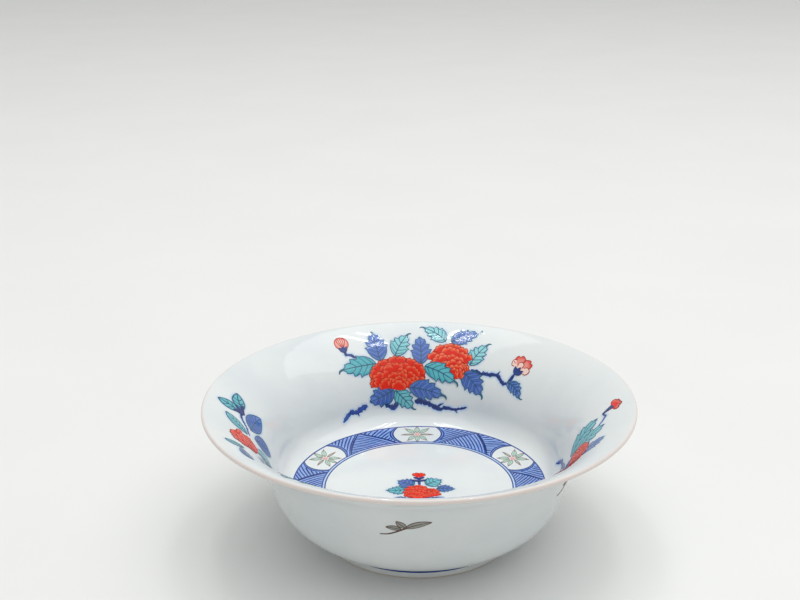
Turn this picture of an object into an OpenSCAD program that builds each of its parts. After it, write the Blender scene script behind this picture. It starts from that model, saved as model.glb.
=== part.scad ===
// Footed porcelain sweets bowl with a flared rim and a painted inside.
// Origin on the bowl's axis at the table, +Z up, back wall towards +Y, millimetres and degrees.
// Azimuths run anticlockwise seen from above, from +X, so the back wall is at 90.

/* [Bowl] */
// Diameter across the rim
rim_d = 188; // [182:1:196]
// Height from the table to the top of the lip
bowl_h = 64.5; // [62:0.5:68]
// Thickness of the upright wall
wall_t = 2.6; // [2.2:0.1:3.4]
// Thickness of the lip, which the flare thins down to
lip_t = 2.1; // [1.7:0.1:2.6]
// Slope of the upright wall above level
wall_slope = 75; // [73:0.5:77]
// Slope of the flare where it ends in the lip
lip_slope = 20; // [16:1:24]
// Radius of the flare, on the inner face
flare_r = 45.3; // [43:0.1:47]
// Radius of the corner between floor and wall, on the inner face
corner_r = 12; // [10:0.5:14]
// Slope of the dished floor where it meets the corner
floor_slope = 8; // [6:0.5:10]
// Height of the middle of the floor above the table
floor_h = 19; // [17.5:0.5:20.5]
// Radius of the belly above the foot, on the outer face
belly_r = 26; // [24:0.5:28]

/* [Foot] */
// Diameter of the foot ring where it stands
foot_d = 86.6; // [82:0.2:90]
// Width of the foot ring
foot_w = 5; // [4:0.2:6.5]
// Height of the body's underside above the table
foot_h = 6; // [5:0.5:7]
// Depth of the hollow in the body's underside, inside the foot ring
recess_d = 5; // [2:0.5:6]
// Width of the bare edge that the foot ring stands on
stand_w = 3.2; // [2.4:0.1:3.6]
// Width of the blue line round the foot
foot_line_w = 1.2; // [0.6:0.1:1.6]
// Height of the blue line's middle on the foot
foot_line_h = 3.6; // [2.6:0.1:4]

/* [Painted band] */
// Width of the band round the floor
band_w = 14.9; // [12.5:0.1:16]
// How far the band's outer edge climbs into the corner, along the surface
band_climb = 2.2; // [1:0.1:4]
// Width of each line that edges the band
line_w = 0.6; // [0.4:0.1:0.9]
// White gap between the two lines on the band's inner side
line_gap = 0.7; // [0.4:0.1:1.2]
// Length of a medallion round the band
medallion_l = 25.5; // [21:0.5:28]
// Thickness of a medallion's blue ends
medallion_end = 2.2; // [1.2:0.1:2.8]
// Length of one petal in a medallion
petal_l = 4.2; // [3:0.1:4.6]

/* [Painted sprays] */
// Thickness of the painted layers
paint_t = 0.2; // [0.15:0.05:0.4]
// Azimuth of the peony spray on the back wall
back_at = 87.5; // [84:0.5:92]
// Azimuth of the peony spray on the right wall
right_at = 328.5; // [325:0.5:332]
// Azimuth of the broad-leaved spray on the left wall
left_at = 207; // [203:0.5:211]
// Width of the branches
branch_w = 2.4; // [1.6:0.1:3]
// Azimuth of the first sprig on the outer wall
sprig_at = 264.5; // [258:0.5:270]
// Distance of the sprigs up the outer face of the flare
sprig_up = 5; // [4:0.5:9]
// Number of sprigs round the outer wall
sprigs = 5; // [3:1:6]
// Length of one sprig
sprig_l = 21; // [18:0.5:24]

/* [Hidden] */

red = "#dc4a30";
green = "#5fb4b6";
blue = "#4d6ab8";
navy = "#24397f";
porcelain = "#e6ebee";

// Azimuths of the medallions, spaced by hand
medallion_at = [28, 90, 150, 210, 270, 330];

// Steps in each arc of the bowl's section
floor_steps = 6;
corner_steps = 6;
flare_steps = 14;
belly_steps = 12;
lip_steps = 8;
// Depth of the cutters that give the painted shapes their outlines
cut_depth = 9;
// Clear width kept between neighbouring painted shapes
paint_gap = 0.3;
// How far the edge of the hollow underneath stays inside the foot ring
recess_ease = 0.5;
// How far the foot ring's top is let into the curve of the belly, to be cut off flush
foot_let_in = 1;
$fn = 72;

// Unit vectors along and square to a line in the section that slopes by a
function along(a) = [cos(a), sin(a)];
function up(a) = [-sin(a), cos(a)];
function arc(c, r, a0, a1, n) = [for (i = [0:n]) c + r*up(a0 + (a1 - a0)*i/n)];
function backwards(l) = [for (i = [len(l) - 1:-1:0]) l[i]];
function degrees(l, r) = l/r*180/PI;

// Section points as [radius, height], from the lip inwards and down to the floor
lip_c = [rim_d/2 - lip_t/2, bowl_h - lip_t/2];
flare_end = lip_c + lip_t/2*up(lip_slope);
flare_c = flare_end - flare_r*up(lip_slope);
flare_start = flare_c + flare_r*up(wall_slope);
corner_run = corner_r*(up(floor_slope) - up(wall_slope));
floor_rise = tan(floor_slope/2);
wall_l = (flare_start[1] - corner_run[1] - floor_h - floor_rise*(flare_start[0] - corner_run[0]))
  / (sin(wall_slope) - floor_rise*cos(wall_slope));
wall_start = flare_start - wall_l*along(wall_slope);
well = wall_start - corner_run;
corner_c = well + corner_r*up(floor_slope);
floor_r = well[0]/sin(floor_slope);
floor_c = [0, floor_h + floor_r];
corner_l = corner_r*(wall_slope - floor_slope)*PI/180;

// Outer section: the flare has its own radius there, so that it thins from the wall to the lip
flare_open = 1 - cos(wall_slope - lip_slope);
flare_out_r = flare_r + (lip_t*(1 - flare_open) - wall_t)/flare_open;
flare_out_c = lip_c - (lip_t/2 + flare_out_r)*up(lip_slope);
wall_out = flare_out_c + flare_out_r*up(wall_slope);
// The belly is tangent to the wall's outer face and to the underside
belly_end_h = foot_h + belly_r*(1 - cos(wall_slope));
belly_c = [wall_out[0] - (wall_out[1] - belly_end_h)/tan(wall_slope) - belly_r*sin(wall_slope),
  foot_h + belly_r];
// How much wider the foot ring is at the body than where it stands, on the radius
foot_lean = 0.5;
foot_in = foot_d/2 - foot_w;
// The underside is flat out to the foot ring or to the belly's start, whichever comes first
flat_r = min(foot_in, belly_c[0]) - recess_ease;
// Height of the belly over a radius, and of the foot ring's top before it is cut off flush
function belly_h(r) = belly_c[1] - sqrt(pow(belly_r, 2) - pow(max(0, r - belly_c[0]), 2));
foot_top = belly_h(foot_d/2 + foot_lean) + foot_let_in;

// Faces of the section, d millimetres clear of the porcelain
function inner_face(d) = concat(
  arc(floor_c, d - floor_r, 0, floor_slope, floor_steps),
  arc(corner_c, d - corner_r, floor_slope, wall_slope, corner_steps),
  arc(flare_c, flare_r + d, wall_slope, lip_slope, flare_steps));
function outer_face(d) = concat(
  arc(belly_c, -belly_r - d, 0, wall_slope, belly_steps),
  arc(flare_out_c, flare_out_r - d, wall_slope, lip_slope, flare_steps));

// Place on the inner face as [radius, height, slope]: v up the wall from the corner, s out from the middle
function wall_at(v) = let (
    a = v < 0 ? wall_slope + degrees(v, corner_r) : wall_slope - degrees(max(0, v - wall_l), flare_r),
    p = v < 0 ? corner_c - corner_r*up(a)
      : v < wall_l ? wall_start + v*along(wall_slope) : flare_c + flare_r*up(a))
  [p[0], p[1], a];
function floor_at(s) = let (a = degrees(s, floor_r), p = floor_c - floor_r*up(a)) [p[0], p[1], a];
// Place on the outer face, v up the flare from the straight wall
function flare_out_at(v) = let (
    a = wall_slope - degrees(v, flare_out_r), p = flare_out_c + flare_out_r*up(a))
  [p[0], p[1], a];

// Radii of the band's edges
band_out = wall_at(band_climb - corner_l)[0];
band_in = band_out - band_w;
band_mid = (band_in + band_out)/2;
medallion_w = band_w - 2*line_w;

// The sprays are drawn for these sizes of rim, wall, floor and sprig, and follow the real ones
drawn_rim = 188;
drawn_wall = 45.6;
drawn_floor = 41.1;
drawn_sprig = 21;
// Heights in the wall sprays are drawn from a line this far below the start of the upright wall
drawn_from = 1.7;
// How far behind the bowl's axis the drawn middle of the floor spray lies
centre_at = -3.9;
wall_run = wall_l + flare_r*(wall_slope - lip_slope)*PI/180;
wall_size = [rim_d/drawn_rim, wall_run/drawn_wall];
floor_size = [1, 1]*band_in/drawn_floor;
sprig_size = [1, 1]*sprig_l/drawn_sprig;
function sized(pts, size) = [for (p = pts) [p[0]*size[0], p[1]*size[1]]];

module on_surface(azimuth, p) {
  rotate([0, 0, azimuth - 90]) translate([0, p[0], p[1]]) rotate([p[2], 0, 0]) children();
}

module cutter() { linear_extrude(cut_depth, center = true) children(); }

module inner_coat() {
  rotate_extrude() polygon(concat(inner_face(0), backwards(inner_face(paint_t))));
}

module paint_inside() {
  intersection() {
    inner_coat();
    children();
  }
}

module paint_outside() {
  intersection() {
    rotate_extrude() polygon(concat(outer_face(0), backwards(outer_face(paint_t))));
    children();
  }
}

// A ring of paint on the floor and corner between two radii
module paint_ring(r0, r1) {
  rotate_extrude() intersection() {
    polygon(concat(inner_face(0), backwards(inner_face(paint_t))));
    translate([r0, 0]) square([r1 - r0, wall_start[1]]);
  }
}

// Half width of a leaf as a fraction of its greatest, at t from its base to its tip
function leaf_half(t) = pow(sin(180*pow(t, 0.9)), 0.8);
// One side of a leaf: rounded towards the base, then hooked teeth, or none, towards the tip
function leaf_side(l, w, teeth) = concat(
  [for (i = [0:4]) [0.1*l*i, w/2*leaf_half(0.1*i)]],
  teeth > 0
    ? [for (i = [0:teeth - 1]) let (step = 0.54/teeth, t = 0.4 + i*step) each [
        [l*(t + 0.8*step), 0.56*w*leaf_half(t + 0.5*step)],
        [l*(t + step), 0.38*w*leaf_half(t + 0.9*step)]]]
    : [for (i = [5:9]) [0.1*l*i, w/2*leaf_half(0.1*i)]]);
// Outline of a leaf between two points of a flat drawing
function leaf_outline(from, to, w, teeth) = let (
    l = norm(to - from), x = (to - from)/l, y = [-x[1], x[0]], side = leaf_side(l, w, teeth))
  [for (p = concat(side, [[l, 0]], [for (i = [len(side) - 1:-1:1]) [side[i][0], -side[i][1]]]))
    from + p[0]*x + p[1]*y];
module drawn_leaf(from, to, w, teeth = 3, size = [1, 1]) {
  polygon(sized(leaf_outline(from, to, w, teeth), size));
}

// A flower head: an ellipse with a lobed edge, taller above its middle than below
module flower_shape(rx, rise, drop, lobes) {
  steps = 4*lobes;
  polygon([for (i = [0:steps - 1]) let (
      a = 360*i/steps,
      edge = 0.9 + 0.1*abs(sin(a*lobes/2)),
      ry = a < 180 ? rise : drop)
    edge*[rx*cos(a), ry*sin(a)]]);
}

// A stem through a row of points, its width going from w0 to w1
function turn_at(pts, i) = let (
    a = pts[max(0, i - 1)], b = pts[min(len(pts) - 1, i + 1)], d = b - a)
  [-d[1], d[0]]/norm(d);
function stem_side(pts, w0, w1, side) = [for (i = [0:len(pts) - 1])
  pts[i] + side*(w0 + (w1 - w0)*i/(len(pts) - 1))/2*turn_at(pts, i)];
module drawn_stem(pts, w0, w1, size = [1, 1]) {
  polygon(sized(concat(stem_side(pts, w0, w1, 1), backwards(stem_side(pts, w0, w1, -1))), size));
}

// Shapes on the wall are given as [azimuth from the spray's middle, distance up the wall as drawn]
function wall_spot(p) = wall_at((p[1] - drawn_from)*wall_size[1]);
function flat_at(p, middle) = [
  (middle[0] - p[0])*PI/180*wall_spot(middle)[0]/wall_size[0], p[1] - middle[1]];
module wall_leaf(from, to, w, teeth = 3) {
  middle = (from + to)/2;
  on_surface(middle[0], wall_spot(middle)) cutter()
    drawn_leaf(flat_at(from, middle), flat_at(to, middle), w, teeth, wall_size);
}
module wall_stem(pts, w0 = 1, w1 = 1) {
  middle = (pts[0] + pts[len(pts) - 1])/2;
  w = branch_w/wall_size[1];
  on_surface(middle[0], wall_spot(middle)) cutter()
    drawn_stem([for (p = pts) flat_at(p, middle)], w0*w, w1*w, wall_size);
}
module wall_flower(at, rx, rise, drop, lobes, grow = 0) {
  on_surface(at[0], wall_spot(at)) cutter() flower_shape(
    rx*wall_size[0] + grow, rise*wall_size[1] + grow, drop*wall_size[1] + grow, lobes);
}
module spray(azimuth) { rotate([0, 0, azimuth]) children(); }

// What the two peony sprays share: the large flower, leaves under it and the old branch below
module peony_head(grow = 0) { wall_flower([9.5, 16], 14.5, 10.2, 6.4, 15, grow); }
module peony_low_green_leaf() { wall_leaf([10, 9], [2, -2], 6.5); }
module peony_low_blue_leaves() {
  wall_leaf([12.5, 9.3], [23, 3.6], 7);
  wall_leaf([4.5, 10.3], [-11, 6.2], 8.5);
}
module peony_old_branch() {
  wall_stem([[36.5, -2.6], [33.6, 1.4], [30.4, 1.8], [27.4, 3.2], [23.8, 3.6]]);
  wall_stem([[28.6, 1.2], [27.6, -1.4]], 0.6, 0.3);
  wall_stem([[14.4, 1.4], [12.2, 0.5], [9.6, 2.4]]);
  wall_stem([[1.6, 3], [-0.6, 3.1], [-4.3, 1.1], [-8.5, -0.9], [-15.6, 0.3], [-20.5, 2.3]], 1, 0.4);
}

// The back spray: three heads, a closed and an open bud, and leaves set round them
module back_heads(grow = 0) {
  peony_head(grow);
  wall_flower([-10.5, 27], 10.2, 7, 6.8, 12, grow);
  wall_flower([-15.2, 21.5], 3.8, 5.5, 6, 8, grow);
}
module back_bud_petals() {
  wall_flower([28.8, 37], 3.6, 3.9, 3.7, 6);
  wall_leaf([-39, 26], [-35.2, 31.8], 4.8, 0);
  wall_leaf([-39, 26], [-38, 34.4], 5.4, 0);
  wall_leaf([-39, 26], [-42.8, 32.2], 5.4, 0);
  wall_leaf([-39, 26], [-44.4, 28.4], 4.4, 0);
}
module back_green_shapes() {
  wall_leaf([18.6, 22.6], [34, 21.8], 9.5);
  wall_leaf([10, 26.5], [5, 38], 8);
  peony_low_green_leaf();
  wall_leaf([-1.5, 20], [-15.5, 13], 7);
  wall_leaf([-7.8, 34.6], [0.5, 43], 7);
  wall_leaf([-19.4, 22.8], [-23.5, 35], 7.5);
}
module back_blue_shapes() {
  wall_leaf([16, 24.5], [16.5, 41.5], 10);
  wall_leaf([0, 21.5], [1, 35.5], 8);
  peony_low_blue_leaves();
  wall_leaf([-10.8, 34.4], [-20.5, 40.7], 7.5);
  wall_leaf([-18.6, 20], [-27.5, 7.3], 8);
  wall_leaf([-38, 17.6], [-44.4, 12.9], 5.4);
}
module back_branch_shapes() {
  peony_old_branch();
  wall_stem([[-21.4, 19.6], [-25.3, 20.1], [-27.4, 21.1], [-29.3, 20.1], [-31.8, 19.9], [-34.6, 17.3],
    [-36.2, 18.6], [-37.3, 21.1], [-38.4, 24.8]], 1, 0.66);
  wall_stem([[-29.6, 21], [-31.4, 23]], 0.6, 0.3);
  wall_stem([[28.9, 32.4], [27.1, 29.3], [24.6, 27.6]], 0.66, 0.5);
}

// The right spray: three heads set lower, one bud of two petals, and two tall leaves beside it
module right_heads(grow = 0) {
  peony_head(grow);
  wall_flower([-11, 23], 10, 7, 6.6, 12, grow);
  wall_flower([-15.4, 18], 3.8, 5.5, 5, 8, grow);
}
module right_bud_petals() {
  wall_leaf([28.2, 37.6], [31.4, 42.2], 4.6, 0);
  wall_leaf([28.2, 37.6], [28, 42.6], 4.6, 0);
}
module right_green_shapes() {
  wall_leaf([21.6, 11], [28.6, 30.6], 10);
  wall_leaf([16.6, 17], [20.2, 34.4], 9);
  peony_low_green_leaf();
  wall_leaf([-20, 19], [-25, 30], 7.5);
}
module right_blue_shapes() {
  wall_leaf([5, 25], [11, 35.4], 7);
  peony_low_blue_leaves();
  wall_leaf([-18.6, 16], [-27.5, 6], 8);
}
module right_branch_shapes() {
  peony_old_branch();
  wall_stem([[28.2, 37], [27.8, 33.6]], 0.9, 0.45);
  wall_stem([[27.8, 33.8], [25.6, 34.4], [23.6, 32.6]], 0.45, 0.45);
}

// The left spray: smooth leaves, two flowers and forked buds
module left_heads(grow = 0) {
  wall_flower([-12.5, 30], 7.6, 7, 9, 10, grow);
  wall_flower([13, 26], 12, 10, 9, 14, grow);
}
module left_bud_petals() {
  wall_leaf([-29.4, 31.4], [-30, 42.4], 6.4, 0);
  wall_leaf([-31.4, 30.6], [-38, 36.2], 6, 0);
  wall_leaf([31, 30.2], [31, 41], 6.4, 0);
  wall_leaf([33, 29.6], [39.6, 35], 6, 0);
}
module left_green_shapes() {
  wall_leaf([-18.6, 26.4], [-23.9, 37.5], 6.4, 0);
  wall_leaf([-8, 21], [-20.7, 3.6], 8, 0);
  wall_leaf([-1, 33], [-3.4, 41.7], 5, 0);
  wall_leaf([22, 30.5], [26, 41.5], 6.5, 0);
  wall_leaf([22, 12], [36, 9], 8, 0);
  wall_leaf([3, 9], [-7, 2], 6, 0);
}
module left_blue_shapes() {
  wall_leaf([-24.5, 22.4], [-36.6, 20.8], 9.6, 0);
  wall_leaf([-19.4, 20], [-25.8, 7.2], 7.6, 0);
  wall_leaf([9.5, 37.4], [1.8, 36.6], 4, 0);
  wall_leaf([24, 20], [36, 22], 8, 0);
  wall_leaf([13, 9.2], [4, -1], 6.5, 0);
}
module left_branch_shapes() {
  wall_stem([[-29.8, 30.6], [-26.4, 29], [-22.4, 25.8], [-19.8, 24.2]], 0.75, 0.5);
  wall_stem([[31.6, 29], [27.4, 26.4], [24.4, 24.4]], 0.66, 0.5);
  wall_stem([[37, -2.4], [33, 1.6], [28, 1.4], [24, 3.6], [19, 3.4], [14.6, 5.2]]);
}

// The spray on the floor, drawn as [right, back] from its own middle
module floor_cutter() { translate([0, centre_at*floor_size[1], floor_h]) cutter() children(); }
module floor_leaf(from, to, w, teeth = 3) { drawn_leaf(from, to, w, teeth, floor_size); }
module floor_stem(pts, w0, w1) { drawn_stem(pts, w0, w1, floor_size); }
module floor_flower(at, rx, rise, drop, lobes, grow) {
  k = floor_size[0];
  translate(k*at) flower_shape(k*rx + grow, k*rise + grow, k*drop + grow, lobes);
}
module centre_heads(grow = 0) {
  floor_flower([-0.2, 0.4], 6.6, 7, 5.4, 12, grow);
  floor_flower([7.6, 0.2], 3.4, 3.9, 2.8, 8, grow);
}

// A medallion's own frame on the floor: x round the band, y outwards
module at_medallions() {
  for (azimuth = medallion_at) on_surface(azimuth, floor_at(band_mid)) children();
}
function oval_points(l, w) = [for (i = [0:35]) [l/2*cos(10*i), w/2*sin(10*i)]];

module bowl_section() {
  polygon(concat(
    [[0, foot_h + recess_d], [flat_r - recess_d, foot_h + recess_d], [flat_r, foot_h]],
    outer_face(0),
    arc(lip_c, lip_t/2, lip_slope + 180, lip_slope + 360, lip_steps),
    backwards(inner_face(0))));
}

module bowl_body() {
  color(porcelain) rotate_extrude() bowl_section();
}

// Radius of the foot ring's outer face at a height
function foot_r_at(h) = foot_d/2 + foot_lean*h/foot_h;

module foot_ring() {
  round_w = (foot_w - stand_w)/2;
  color(porcelain) rotate_extrude() difference() {
    polygon([[foot_in, round_w], [foot_in + round_w, 0], [foot_d/2 - round_w, 0],
      [foot_r_at(round_w), round_w], [foot_r_at(foot_top), foot_top], [foot_in, foot_top]]);
    bowl_section();
  }
}

module foot_line() {
  h0 = foot_line_h - foot_line_w/2;
  h1 = foot_line_h + foot_line_w/2;
  color(navy) rotate_extrude() polygon([[foot_r_at(h0), h0], [foot_r_at(h0) + paint_t, h0],
    [foot_r_at(h1) + paint_t, h1], [foot_r_at(h1), h1]]);
}

module band_ground() {
  color(blue) difference() {
    paint_ring(band_in + line_w, band_out - line_w);
    at_medallions() cutter() polygon(oval_points(medallion_l, medallion_w));
  }
}

module band_lines() {
  color(navy) {
    paint_ring(band_in - line_gap - line_w, band_in - line_gap);
    paint_ring(band_in, band_in + line_w);
    paint_ring(band_out - line_w, band_out);
  }
}

module medallion_rims() {
  color(navy) paint_inside() at_medallions() cutter() difference() {
    polygon(oval_points(medallion_l, medallion_w));
    polygon(oval_points(medallion_l - 2*medallion_end, medallion_w - line_w));
  }
}

module medallion_petals() {
  heart = 0.3*petal_l;
  color("#a9d3bd") paint_inside() at_medallions() cutter()
    for (i = [0:7]) rotate(45*i) drawn_leaf([heart, 0], [heart + petal_l, 0], 0.5*petal_l, 0);
}

module medallion_hearts() {
  color("#e2907c") paint_inside() at_medallions() cutter() circle(d = 0.4*petal_l, $fn = 12);
}

module centre_flowers() {
  color(red) paint_inside() floor_cutter() {
    centre_heads();
    floor_leaf([0.3, 14.8], [-2, 19.2], 3.4, 0);
    floor_leaf([0.3, 14.8], [2.7, 19], 3.4, 0);
  }
}

module centre_green_leaves() {
  color(green) paint_inside() floor_cutter() difference() {
    union() {
      floor_leaf([-5.6, 3.4], [-14.2, 2.6], 6.6);
      floor_leaf([3.6, 7], [9.2, 13.2], 6.6);
      floor_leaf([7, -6.4], [11, -13], 5);
      floor_leaf([-1, -6], [-4, -14], 5);
    }
    centre_heads(paint_gap);
  }
}

module centre_blue_leaves() {
  color(blue) paint_inside() floor_cutter() difference() {
    union() {
      floor_leaf([-2.4, 6.6], [-7.8, 13.2], 6.8);
      floor_leaf([9, 4.2], [16.6, 3.2], 5.6);
      floor_leaf([-6, -6.4], [-12.4, -12], 5);
      floor_leaf([3, -6], [5, -14], 5);
    }
    centre_heads(paint_gap);
  }
}

module centre_stems() {
  color(navy) paint_inside() floor_cutter() {
    floor_stem([[0.3, 14.4], [0.2, 11], [0.3, 7.8]], 1.9, 0.9);
    floor_stem([[-10.4, -4.4], [-7.8, -3.7], [-5.8, -3.7]], 0.9, 1.4);
    floor_stem([[6.8, -4.2], [8.6, -3.9], [10.4, -4.1]], 1.2, 0.8);
  }
}

module back_flowers() { color(red) paint_inside() spray(back_at) back_heads(); }
module back_buds() { color("#e9846c") paint_inside() spray(back_at) back_bud_petals(); }
module back_green_leaves() {
  color(green) paint_inside() spray(back_at) difference() {
    back_green_shapes();
    back_heads(paint_gap);
  }
}
module back_blue_leaves() {
  color(blue) paint_inside() spray(back_at) difference() {
    back_blue_shapes();
    back_heads(paint_gap);
  }
}
module back_branches() { color(navy) paint_inside() spray(back_at) back_branch_shapes(); }

module right_flowers() { color(red) paint_inside() spray(right_at) right_heads(); }
module right_buds() { color("#e9846c") paint_inside() spray(right_at) right_bud_petals(); }
module right_green_leaves() {
  color(green) paint_inside() spray(right_at) difference() {
    right_green_shapes();
    right_heads(paint_gap);
  }
}
module right_blue_leaves() {
  color(blue) paint_inside() spray(right_at) difference() {
    right_blue_shapes();
    right_heads(paint_gap);
  }
}
module right_branches() { color(navy) paint_inside() spray(right_at) right_branch_shapes(); }

module left_flowers() { color(red) paint_inside() spray(left_at) left_heads(); }
module left_buds() { color("#4fae9d") paint_inside() spray(left_at) left_bud_petals(); }
module left_green_leaves() {
  color(green) paint_inside() spray(left_at) difference() {
    left_green_shapes();
    left_heads(paint_gap);
  }
}
module left_blue_leaves() {
  color(blue) paint_inside() spray(left_at) difference() {
    left_blue_shapes();
    left_heads(paint_gap);
  }
}
module left_branches() { color(navy) paint_inside() spray(left_at) left_branch_shapes(); }

// A sprig on the outer wall, seen from outside: a stem, a long leaf and two short ones
module sprig_leaf(from, to, w) { drawn_leaf(from, to, w, 0, sprig_size); }
module outside_sprigs() {
  color("#7d857a") paint_outside() for (i = [0:sprigs - 1])
    on_surface(sprig_at + 360*i/sprigs, flare_out_at(sprig_up)) cutter() mirror([1, 0]) {
      drawn_stem([[-10.4, -4.2], [-7, -3.8], [-3.4, -2.2], [0.6, 0.2]], 0.5, 1, sprig_size);
      sprig_leaf([0.2, 0], [10.4, 4], 3.4);
      sprig_leaf([0.6, 0.4], [-3.2, 4.4], 3);
      sprig_leaf([-1.4, -0.8], [-7.6, 0.2], 2.6);
    }
}

bowl_body();
foot_ring();
foot_line();
band_ground();
band_lines();
medallion_rims();
medallion_petals();
medallion_hearts();
centre_flowers();
centre_green_leaves();
centre_blue_leaves();
centre_stems();
back_flowers();
back_buds();
back_green_leaves();
back_blue_leaves();
back_branches();
right_flowers();
right_buds();
right_green_leaves();
right_blue_leaves();
right_branches();
left_flowers();
left_buds();
left_green_leaves();
left_blue_leaves();
left_branches();
outside_sprigs();
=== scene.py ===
from math import asin, atan2, cos, hypot, pi, radians, sin, tan
from random import Random

import bmesh
import bpy
from bpy.props import FloatProperty, FloatVectorProperty, IntProperty, PointerProperty
from bpy.types import Operator, Panel, PropertyGroup
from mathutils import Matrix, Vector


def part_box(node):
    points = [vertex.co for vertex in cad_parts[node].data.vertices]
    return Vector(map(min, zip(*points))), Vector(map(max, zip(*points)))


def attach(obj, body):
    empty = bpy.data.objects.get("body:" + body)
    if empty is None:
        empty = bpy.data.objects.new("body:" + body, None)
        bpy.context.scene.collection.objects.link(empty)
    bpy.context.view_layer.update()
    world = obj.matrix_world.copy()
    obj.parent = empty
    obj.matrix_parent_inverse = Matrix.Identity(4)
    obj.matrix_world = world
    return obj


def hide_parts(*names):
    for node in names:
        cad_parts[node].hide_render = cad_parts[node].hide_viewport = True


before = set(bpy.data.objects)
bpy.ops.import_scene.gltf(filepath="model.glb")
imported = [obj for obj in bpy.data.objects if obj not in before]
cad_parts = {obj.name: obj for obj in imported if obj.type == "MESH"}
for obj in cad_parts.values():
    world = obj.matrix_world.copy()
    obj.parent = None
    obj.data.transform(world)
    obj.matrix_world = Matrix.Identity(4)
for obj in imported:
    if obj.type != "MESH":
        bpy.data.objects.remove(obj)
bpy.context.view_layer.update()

bl_info = {
    "name": "Footed sweets bowl",
    "version": (1, 0, 0),
    "blender": (4, 5, 0),
    "location": "View3D > Sidebar > Bowl",
    "description": "Porcelain sweets bowl with a flared rim, a foot ring and a painted inside",
    "category": "Object",
}

BODY_LOW, BODY_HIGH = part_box("bowl_body")
MM = 0.001
# A length that counts as none
TINY = 1e-6


# Sizes and colours

def srgb(red, green, blue):
    """A colour as it looks on screen, 0 to 255, as Blender's linear values."""
    def linear(c):
        c /= 255
        return c / 12.92 if c <= 0.04045 else ((c + 0.055) / 1.055) ** 2.4
    return linear(red), linear(green), linear(blue)


def length(name, description, default):
    return FloatProperty(name=name, description=description, default=default, min=0.0, unit='LENGTH')


def angle(name, description, default):
    return FloatProperty(name=name, description=description, default=radians(default), subtype='ANGLE')


def colour(name, description, red, green, blue):
    return FloatVectorProperty(name=name, description=description, default=srgb(red, green, blue),
                               min=0.0, max=1.0, size=3, subtype='COLOR')


class BowlSizes(PropertyGroup):
    """Sizes of the bowl and of its painted ornament"""
    rim_d: length("Rim diameter", "Across the outer edge of the rim", round(BODY_HIGH[0] - BODY_LOW[0], 3))
    bowl_h: length("Height", "From the table to the top of the lip", round(BODY_HIGH[2], 4))
    wall_t: length("Wall thickness", "Thickness of the upright wall", 0.0026)
    lip_t: length("Lip thickness", "Thickness that the flare thins down to at the lip", 0.0021)
    flare_r: length("Flare radius", "Radius of the flare on the inner face", 0.0453)
    corner_r: length("Corner radius", "Radius between floor and wall on the inner face", 0.012)
    belly_r: length("Belly radius", "Radius above the foot on the outer face", 0.026)
    floor_h: length("Floor height", "Middle of the floor above the table", 0.019)
    wall_slope: angle("Wall slope", "Slope of the upright wall above level", 75)
    lip_slope: angle("Lip slope", "Slope of the flare where it ends in the lip", 20)
    floor_slope: angle("Floor slope", "Slope of the dished floor at the corner", 8)
    foot_d: length("Foot diameter", "Across the foot ring where it stands", 0.0866)
    foot_w: length("Foot width", "Width of the foot ring", 0.005)
    foot_h: length("Underside height", "Body's underside above the table", 0.006)
    recess_d: length("Hollow depth", "Depth of the hollow inside the foot ring", 0.005)
    foot_line_w: length("Foot line width", "Width of the blue line round the foot", 0.0012)
    foot_line_h: length("Foot line height", "Middle of the blue line above the table", 0.0036)
    band_w: length("Band width", "Width of the blue band round the floor", 0.0135)
    band_climb: length("Band climb", "How far the band climbs into the corner", 0.00275)
    line_w: length("Line width", "Width of the lines that edge the band", 0.0006)
    line_gap: length("Line gap", "White gap between the band's two inner lines", 0.0007)
    medallion_l: length("Medallion length", "Length of a medallion round the band", 0.0266)
    medallion_end: length("Medallion end", "Thickness of a medallion's blue ends", 0.002)
    petal_l: length("Medallion petal", "Length of one petal in a medallion", 0.005)
    branch_w: length("Branch width", "Width of the painted branches", 0.0024)
    outline_w: length("Outline width", "Width of the brush outlines", 0.00044)
    turns: IntProperty(name="Segments", description="Steps round the bowl", default=288, min=32)


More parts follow.
